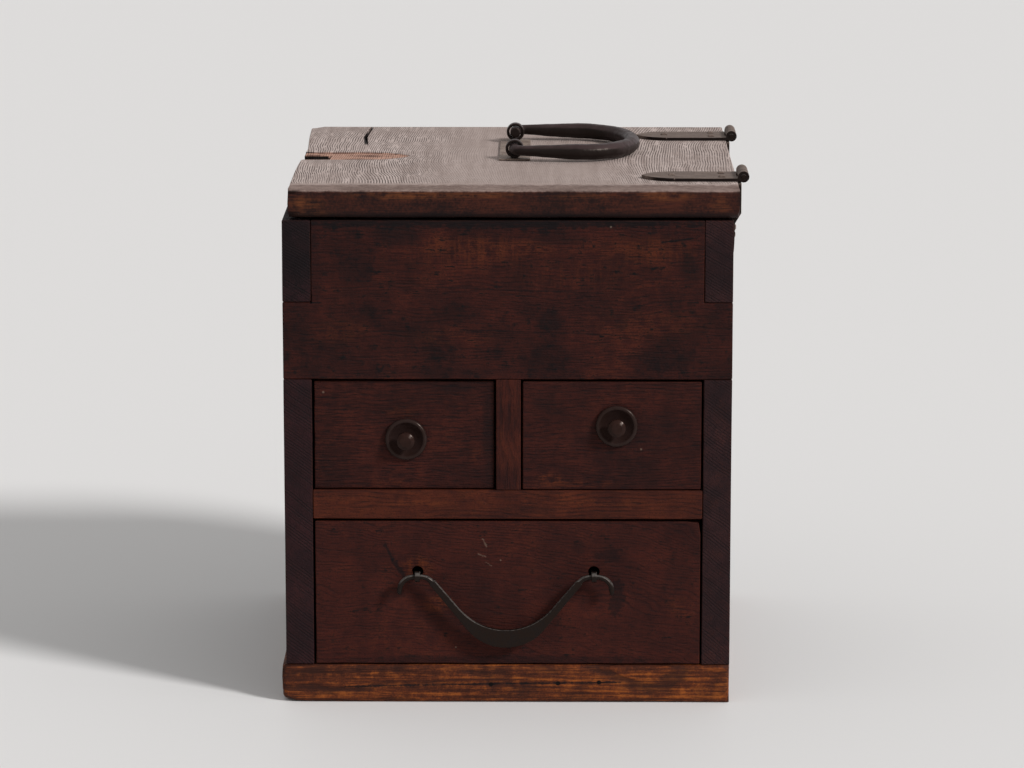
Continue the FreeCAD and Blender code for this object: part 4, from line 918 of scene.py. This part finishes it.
def set_down(bm, name, crease=50):
    """Turns an edited copy into a piece whose edges are sharp from an angle of crease degrees on."""
    mesh = bpy.data.meshes.new(name)
    bm.to_mesh(mesh)
    bm.free()
    smooth_faces(mesh)
    mesh.set_sharp_from_angle(angle=math.radians(crease))
    piece = bpy.data.objects.new(name, mesh)
    scene.collection.objects.link(piece)
    return piece


print(len(frame["nodes"]), "solids to copy")

# %% [markdown]
# ## Worn boards
# A board's solid has sharp edges and flat faces. On the real box every edge is rounded by hands and
# the faces are a little uneven. The copy is bevelled, sliced into a fine grid and then dented with
# noise, always inwards, so the board never grows. The middle of each bevel is marked as rubbed, and
# the wood finish shows paler wood there. Corners that are worn off get a push of their own, as does
# the lid's left edge, and the split in the lid is pinched shut where it meets the rear edge.

# %% Slice a board
SHARP = math.radians(40)
SHORTEST = 5


def sharp_edges(bm):
    """The outer edges of a board, without the mouths of small holes."""
    return [edge for edge in bm.edges
            if len(edge.link_faces) == 2 and edge.is_convex
            and edge.calc_face_angle() > SHARP and edge.calc_length() > SHORTEST * MM]


def slice_up(bm, cell):
    """Cuts the mesh by three sets of parallel planes."""
    for axis in range(3):
        places = [vert.co[axis] for vert in bm.verts]
        low, high = min(places), max(places)
        count = int((high - low) / cell)
        normal = Vector([float(axis == other) for other in range(3)])
        for step in range(1, count + 1):
            at = low + (high - low) * step / (count + 1)
            geometry = bm.verts[:] + bm.edges[:] + bm.faces[:]
            bmesh.ops.bisect_plane(bm, geom=geometry, dist=WELD, plane_co=normal * at, plane_no=normal)


print("edges over", SHORTEST, "mm will be bevelled")

# %% Wear a board
DENT_SCALE = 40
CHIP_SCALE = 110
CHIP_SHIFT = Vector((7, 3, 5))
PINCH = 0.97
PINCH_HASTE = 1.2


def push(vert, corner, reach, way):
    """Moves what lies within reach of a corner."""
    near = 1 - (vert.co - Vector(corner) * MM).length / (reach * MM)
    vert.co += Vector(way) * MM * max(0.0, near) ** 2


def pinch(vert, middle, half, inner, outer):
    """Draws the sides of a split together, from its inner end to the outer one."""
    aside = vert.co.x / MM - middle
    shut = (vert.co.y / MM - inner) / (outer - inner)
    if abs(aside) < half and shut > 0:
        vert.co.x = (middle + aside * (1 - PINCH * min(1, PINCH_HASTE * shut))) * MM


def worn(node, material, bevel=0.5, cell=6.0, dent=0.25, chip=0.5, pushes=(), pinches=()):
    """A copy of a board with rounded, chipped edges and slightly uneven faces. Sizes in millimetres."""
    bm = copy_of(node)
    rub = bm.verts.layers.float.new("rub")
    made = bmesh.ops.bevel(bm, geom=sharp_edges(bm), offset=bevel * MM, segments=2, profile=0.5,
                           affect="EDGES", clamp_overlap=False)
    rounded = set(made["faces"])
    for vert in bm.verts:
        vert[rub] = float(all(face in rounded for face in vert.link_faces))
    slice_up(bm, cell * MM)
    bm.normal_update()
    for vert in bm.verts:
        uneven = 0.5 + 0.5 * noise.noise(vert.co * DENT_SCALE)
        bite = max(0.0, noise.noise(vert.co * CHIP_SCALE + CHIP_SHIFT))
        vert.co -= vert.normal * MM * (dent * uneven * 0.5 + chip * bite * vert[rub])
        for corner in pushes:
            push(vert, *corner)
        for split in pinches:
            pinch(vert, *split)
    piece = set_down(bm, "worn_" + node)
    weighted = piece.modifiers.new("flat_faces", "WEIGHTED_NORMAL")
    weighted.keep_sharp = True
    dress(piece, node, material)
    return piece


print("a pinch closes a split by", PINCH)

# %% Wear down the boards
# A push: the corner, how far it reaches and which way it goes. A pinch: the middle of the split across
# the lid, half its width, and where along the lid it starts and ends
PUSHES = {
    "lid_board": [((-91.5, 95, 220), 6, (1.6, -1.6, -0.6)), ((-91.5, 95, 208), 6, (1.4, -1.4, 0.6)),
                  ((-91.5, 25, 214), 75, (2.2, 0, 0))],
    "lid_front_lipping": [((-91.5, -95, 220), 5, (0.6, 0.6, -0.8)), ((-91.5, -95, 208), 5, (0.8, 0.5, 0.8)),
                          ((96.5, -95, 208), 6, (-1.6, 0.6, 0.5))],
    "base_board": [((-96, -94.8, 0), 9, (1.6, 0.8, 2.2)), ((-96, -94.8, 16.5), 5, (0.8, 0.5, -0.8))],
    "large_drawer_front": [((81.3, -93.8, 78.9), 5, (-0.9, 0.3, -0.9))],
}
PINCHES = {"lid_board": [(-63.9, 1.5, 89, 95)]}
DENTS = {"lid_front_lipping": 0.7, "base_board": 0.6}
CHIPS = {"lid_front_lipping": 0.8, "base_board": 0.8, "large_drawer_front": 0.9}
for board, material in woods.items():
    made = worn(board, material, dent=DENTS.get(board, 0.25), chip=CHIPS.get(board, 0.5),
                pushes=PUSHES.get(board, ()), pinches=PINCHES.get(board, ()))
    print("worn", board, len(made.data.vertices), "points")

# %% [markdown]
# ## Hinges and plate
# The straps and the plate are hammered sheet iron with uneven edges. The same wearing helper, with a
# finer grid and a smaller bevel, gives them hammer dents and softened rims.

# %% Hammer the sheet iron
SHEETS = [f"{end}_hinge_{leaf}_leaf" for end in ("front", "rear") for leaf in ("lid", "side")]
for sheet in SHEETS:
    worn(sheet, irons["hinge"], bevel=0.3, cell=2.5, dent=0.2, chip=0.3)
worn("handle_plate", irons["plate"], bevel=0.25, cell=2.5, dent=0.2, chip=0.3)
print(len(SHEETS) + 1, "sheets hammered")

# %% [markdown]
# ## Forged bars
# The handles and eyes are bent from bar, and the solids show them with flat facets. Remeshing a copy
# in small cubes and relaxing it gives the soft roundness of hammered iron. Relaxing shrinks a bar a
# little, so its skin is moved out again by about as much, and shallow hammer hollows go back in.

# %% Smooth the forged bars
BROAD_HAMMER = 90
FINE_HAMMER = 320


def relaxed(piece, cube, rounds):
    """The piece's mesh after remeshing it in small cubes and smoothing it."""
    remesh = piece.modifiers.new("cubes", "REMESH")
    remesh.mode = "VOXEL"
    remesh.voxel_size = cube * MM
    smooth = piece.modifiers.new("relax", "SMOOTH")
    smooth.iterations = rounds
    graph = bpy.context.evaluated_depsgraph_get()
    mesh = bpy.data.meshes.new_from_object(piece.evaluated_get(graph))
    piece.modifiers.clear()
    return mesh


def forged(node, material, cube, rounds, swell, hammer):
    """A remeshed, relaxed and hammered copy of a bent bar. Sizes in millimetres."""
    piece = bpy.data.objects.new("forged_" + node, frame["nodes"][node].data.copy())
    scene.collection.objects.link(piece)
    piece.data = relaxed(piece, cube, rounds)
    piece.data.name = piece.name
    skin = [(vert.co.copy(), vert.normal.copy()) for vert in piece.data.vertices]
    for vert, (at, outwards) in zip(piece.data.vertices, skin):
        hollow = 0.5 + 0.35 * noise.noise(at * BROAD_HAMMER) + 0.15 * noise.noise(at * FINE_HAMMER)
        vert.co = at + outwards * MM * (swell - hammer * hollow)
    smooth_faces(piece.data)
    dress(piece, node, material)
    print("forged", node, len(skin), "points")


forged("lid_handle", irons["handle"], cube=0.5, rounds=8, swell=0.3, hammer=0.5)
forged("drawer_bail", irons["dark"], cube=0.3, rounds=4, swell=0.08, hammer=0.2)
for eye in ("handle_eye_front", "handle_eye_rear"):
    forged(eye, irons["handle"], cube=0.3, rounds=4, swell=0.05, hammer=0.15)
for eye in ("bail_eyelet_left", "bail_eyelet_right"):
    forged(eye, irons["dark"], cube=0.25, rounds=3, swell=0.05, hammer=0.1)

# %% [markdown]
# ## Knobs
# Each small drawer has a dished iron rosette with a rolled rim and a stud through its middle. The
# rosette is a round dish, so a half outline is spun about the knob's axis with far finer steps than
# the solid has. The outline keeps to the solid's height and radius.

# %% Spin an outline
SPIN_STEPS = 72
UNEVEN = 0.05
UNEVEN_SCALE = 220


def arc(centre, radius, start, end, steps=8):
    """Points on a round stretch of an outline, angles in degrees from outwards."""
    turns = [math.radians(start + (end - start) * step / steps) for step in range(steps + 1)]
    return [(centre[0] + radius * math.cos(turn), centre[1] + radius * math.sin(turn)) for turn in turns]


def turned(node, material, outline, axis_at, face):
    """Spins an outline of (radius, height above the face) in millimetres round an axis along Y."""
    bm = bmesh.new()
    rings = []
    for radius, height in outline:
        ring = []
        for step in range(SPIN_STEPS):
            angle = 2 * math.pi * step / SPIN_STEPS
            place = Vector((radius * math.cos(angle), -height, radius * math.sin(angle))) * MM
            ring.append(bm.verts.new(axis_at + place + Vector((0, face, 0))))
        rings.append(ring)
    for lower, upper in zip(rings, rings[1:]):
        for step in range(SPIN_STEPS):
            after = (step + 1) % SPIN_STEPS
            bm.faces.new((lower[step], lower[after], upper[after], upper[step]))
    bm.faces.new(rings[0])
    bm.faces.new(rings[-1])
    bmesh.ops.recalc_face_normals(bm, faces=bm.faces)
    for vert in bm.verts:
        vert.co += vert.normal * MM * UNEVEN * (noise.noise(vert.co * UNEVEN_SCALE) - 0.5)
    dress(set_down(bm, "turned_" + node, crease=40), node, material)


print("outlines are spun in", SPIN_STEPS, "steps")

# %% Turn the knobs
ROLL = 1.15
ROLL_ANGLES = (-40, 150)
FOOT_INSET = 0.8
DISH_INSET = 4.8
DISH = 0.3
BORE = 1.4
# The slope of the dish: how far in from the rim, and which share of its height
SLOPE = ((2.9, 0.52), (3.8, 0.34))
for side in ("left", "right"):
    low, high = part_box(side + "_knob_rosette")
    middle = Vector(((low.x + high.x) / 2, 0, (low.z + high.z) / 2))
    radius = (high.x - low.x) / 2 / MM
    rim = (high.y - low.y) / MM
    outline = [(BORE, 0), (radius - FOOT_INSET, 0)]
    outline += arc((radius - ROLL, rim - ROLL), ROLL, *ROLL_ANGLES)
    outline += [(radius - inset, rim * share) for inset, share in SLOPE]
    outline += [(radius - DISH_INSET, DISH), (BORE, DISH)]
    turned(side + "_knob_rosette", irons["rosette"], outline, middle, high.y)
    print(side, "rosette turned, radius", round(radius, 2), "mm")

# %% [markdown]
# ## The remaining pieces
# Inner boards, pegs, pins, nails and studs keep the shape of their solids. A copy of each gets smooth
# round faces, a small bevel by a modifier, and its finish.

# %% Finish the remaining pieces
INNER_ACROSS = ("_back", "shelf_panel")
STUD_EDGE = 0.6
SMALL_EDGE = 0.25


def finish_of(node):
    """The finish of a piece that keeps its solid's shape."""
    slot = slot_of[node]
    if slot == "inner_wood":
        return inner_across if node.endswith(INNER_ACROSS) else inner_along
    if slot == "base_wood":
        return woods["base_board"]
    if node.endswith("hinge_pin"):
        return irons["dark"]
    return irons["hinge" if slot == "hinge_iron" else "stud"]


def softened(node, material, width):
    """A copy of a small piece with rounded edges and smooth round faces. The width is in millimetres."""
    piece = set_down(copy_of(node), "soft_" + node)
    edge = piece.modifiers.new("edge", "BEVEL")
    edge.width = width * MM
    edge.segments = 3
    edge.limit_method = "ANGLE"
    edge.harden_normals = True
    dress(piece, node, material)


for node in frame["nodes"]:
    if node not in dressed:
        softened(node, finish_of(node), STUD_EDGE if node.endswith("stud") else SMALL_EDGE)
print(len(dressed), "pieces dressed")
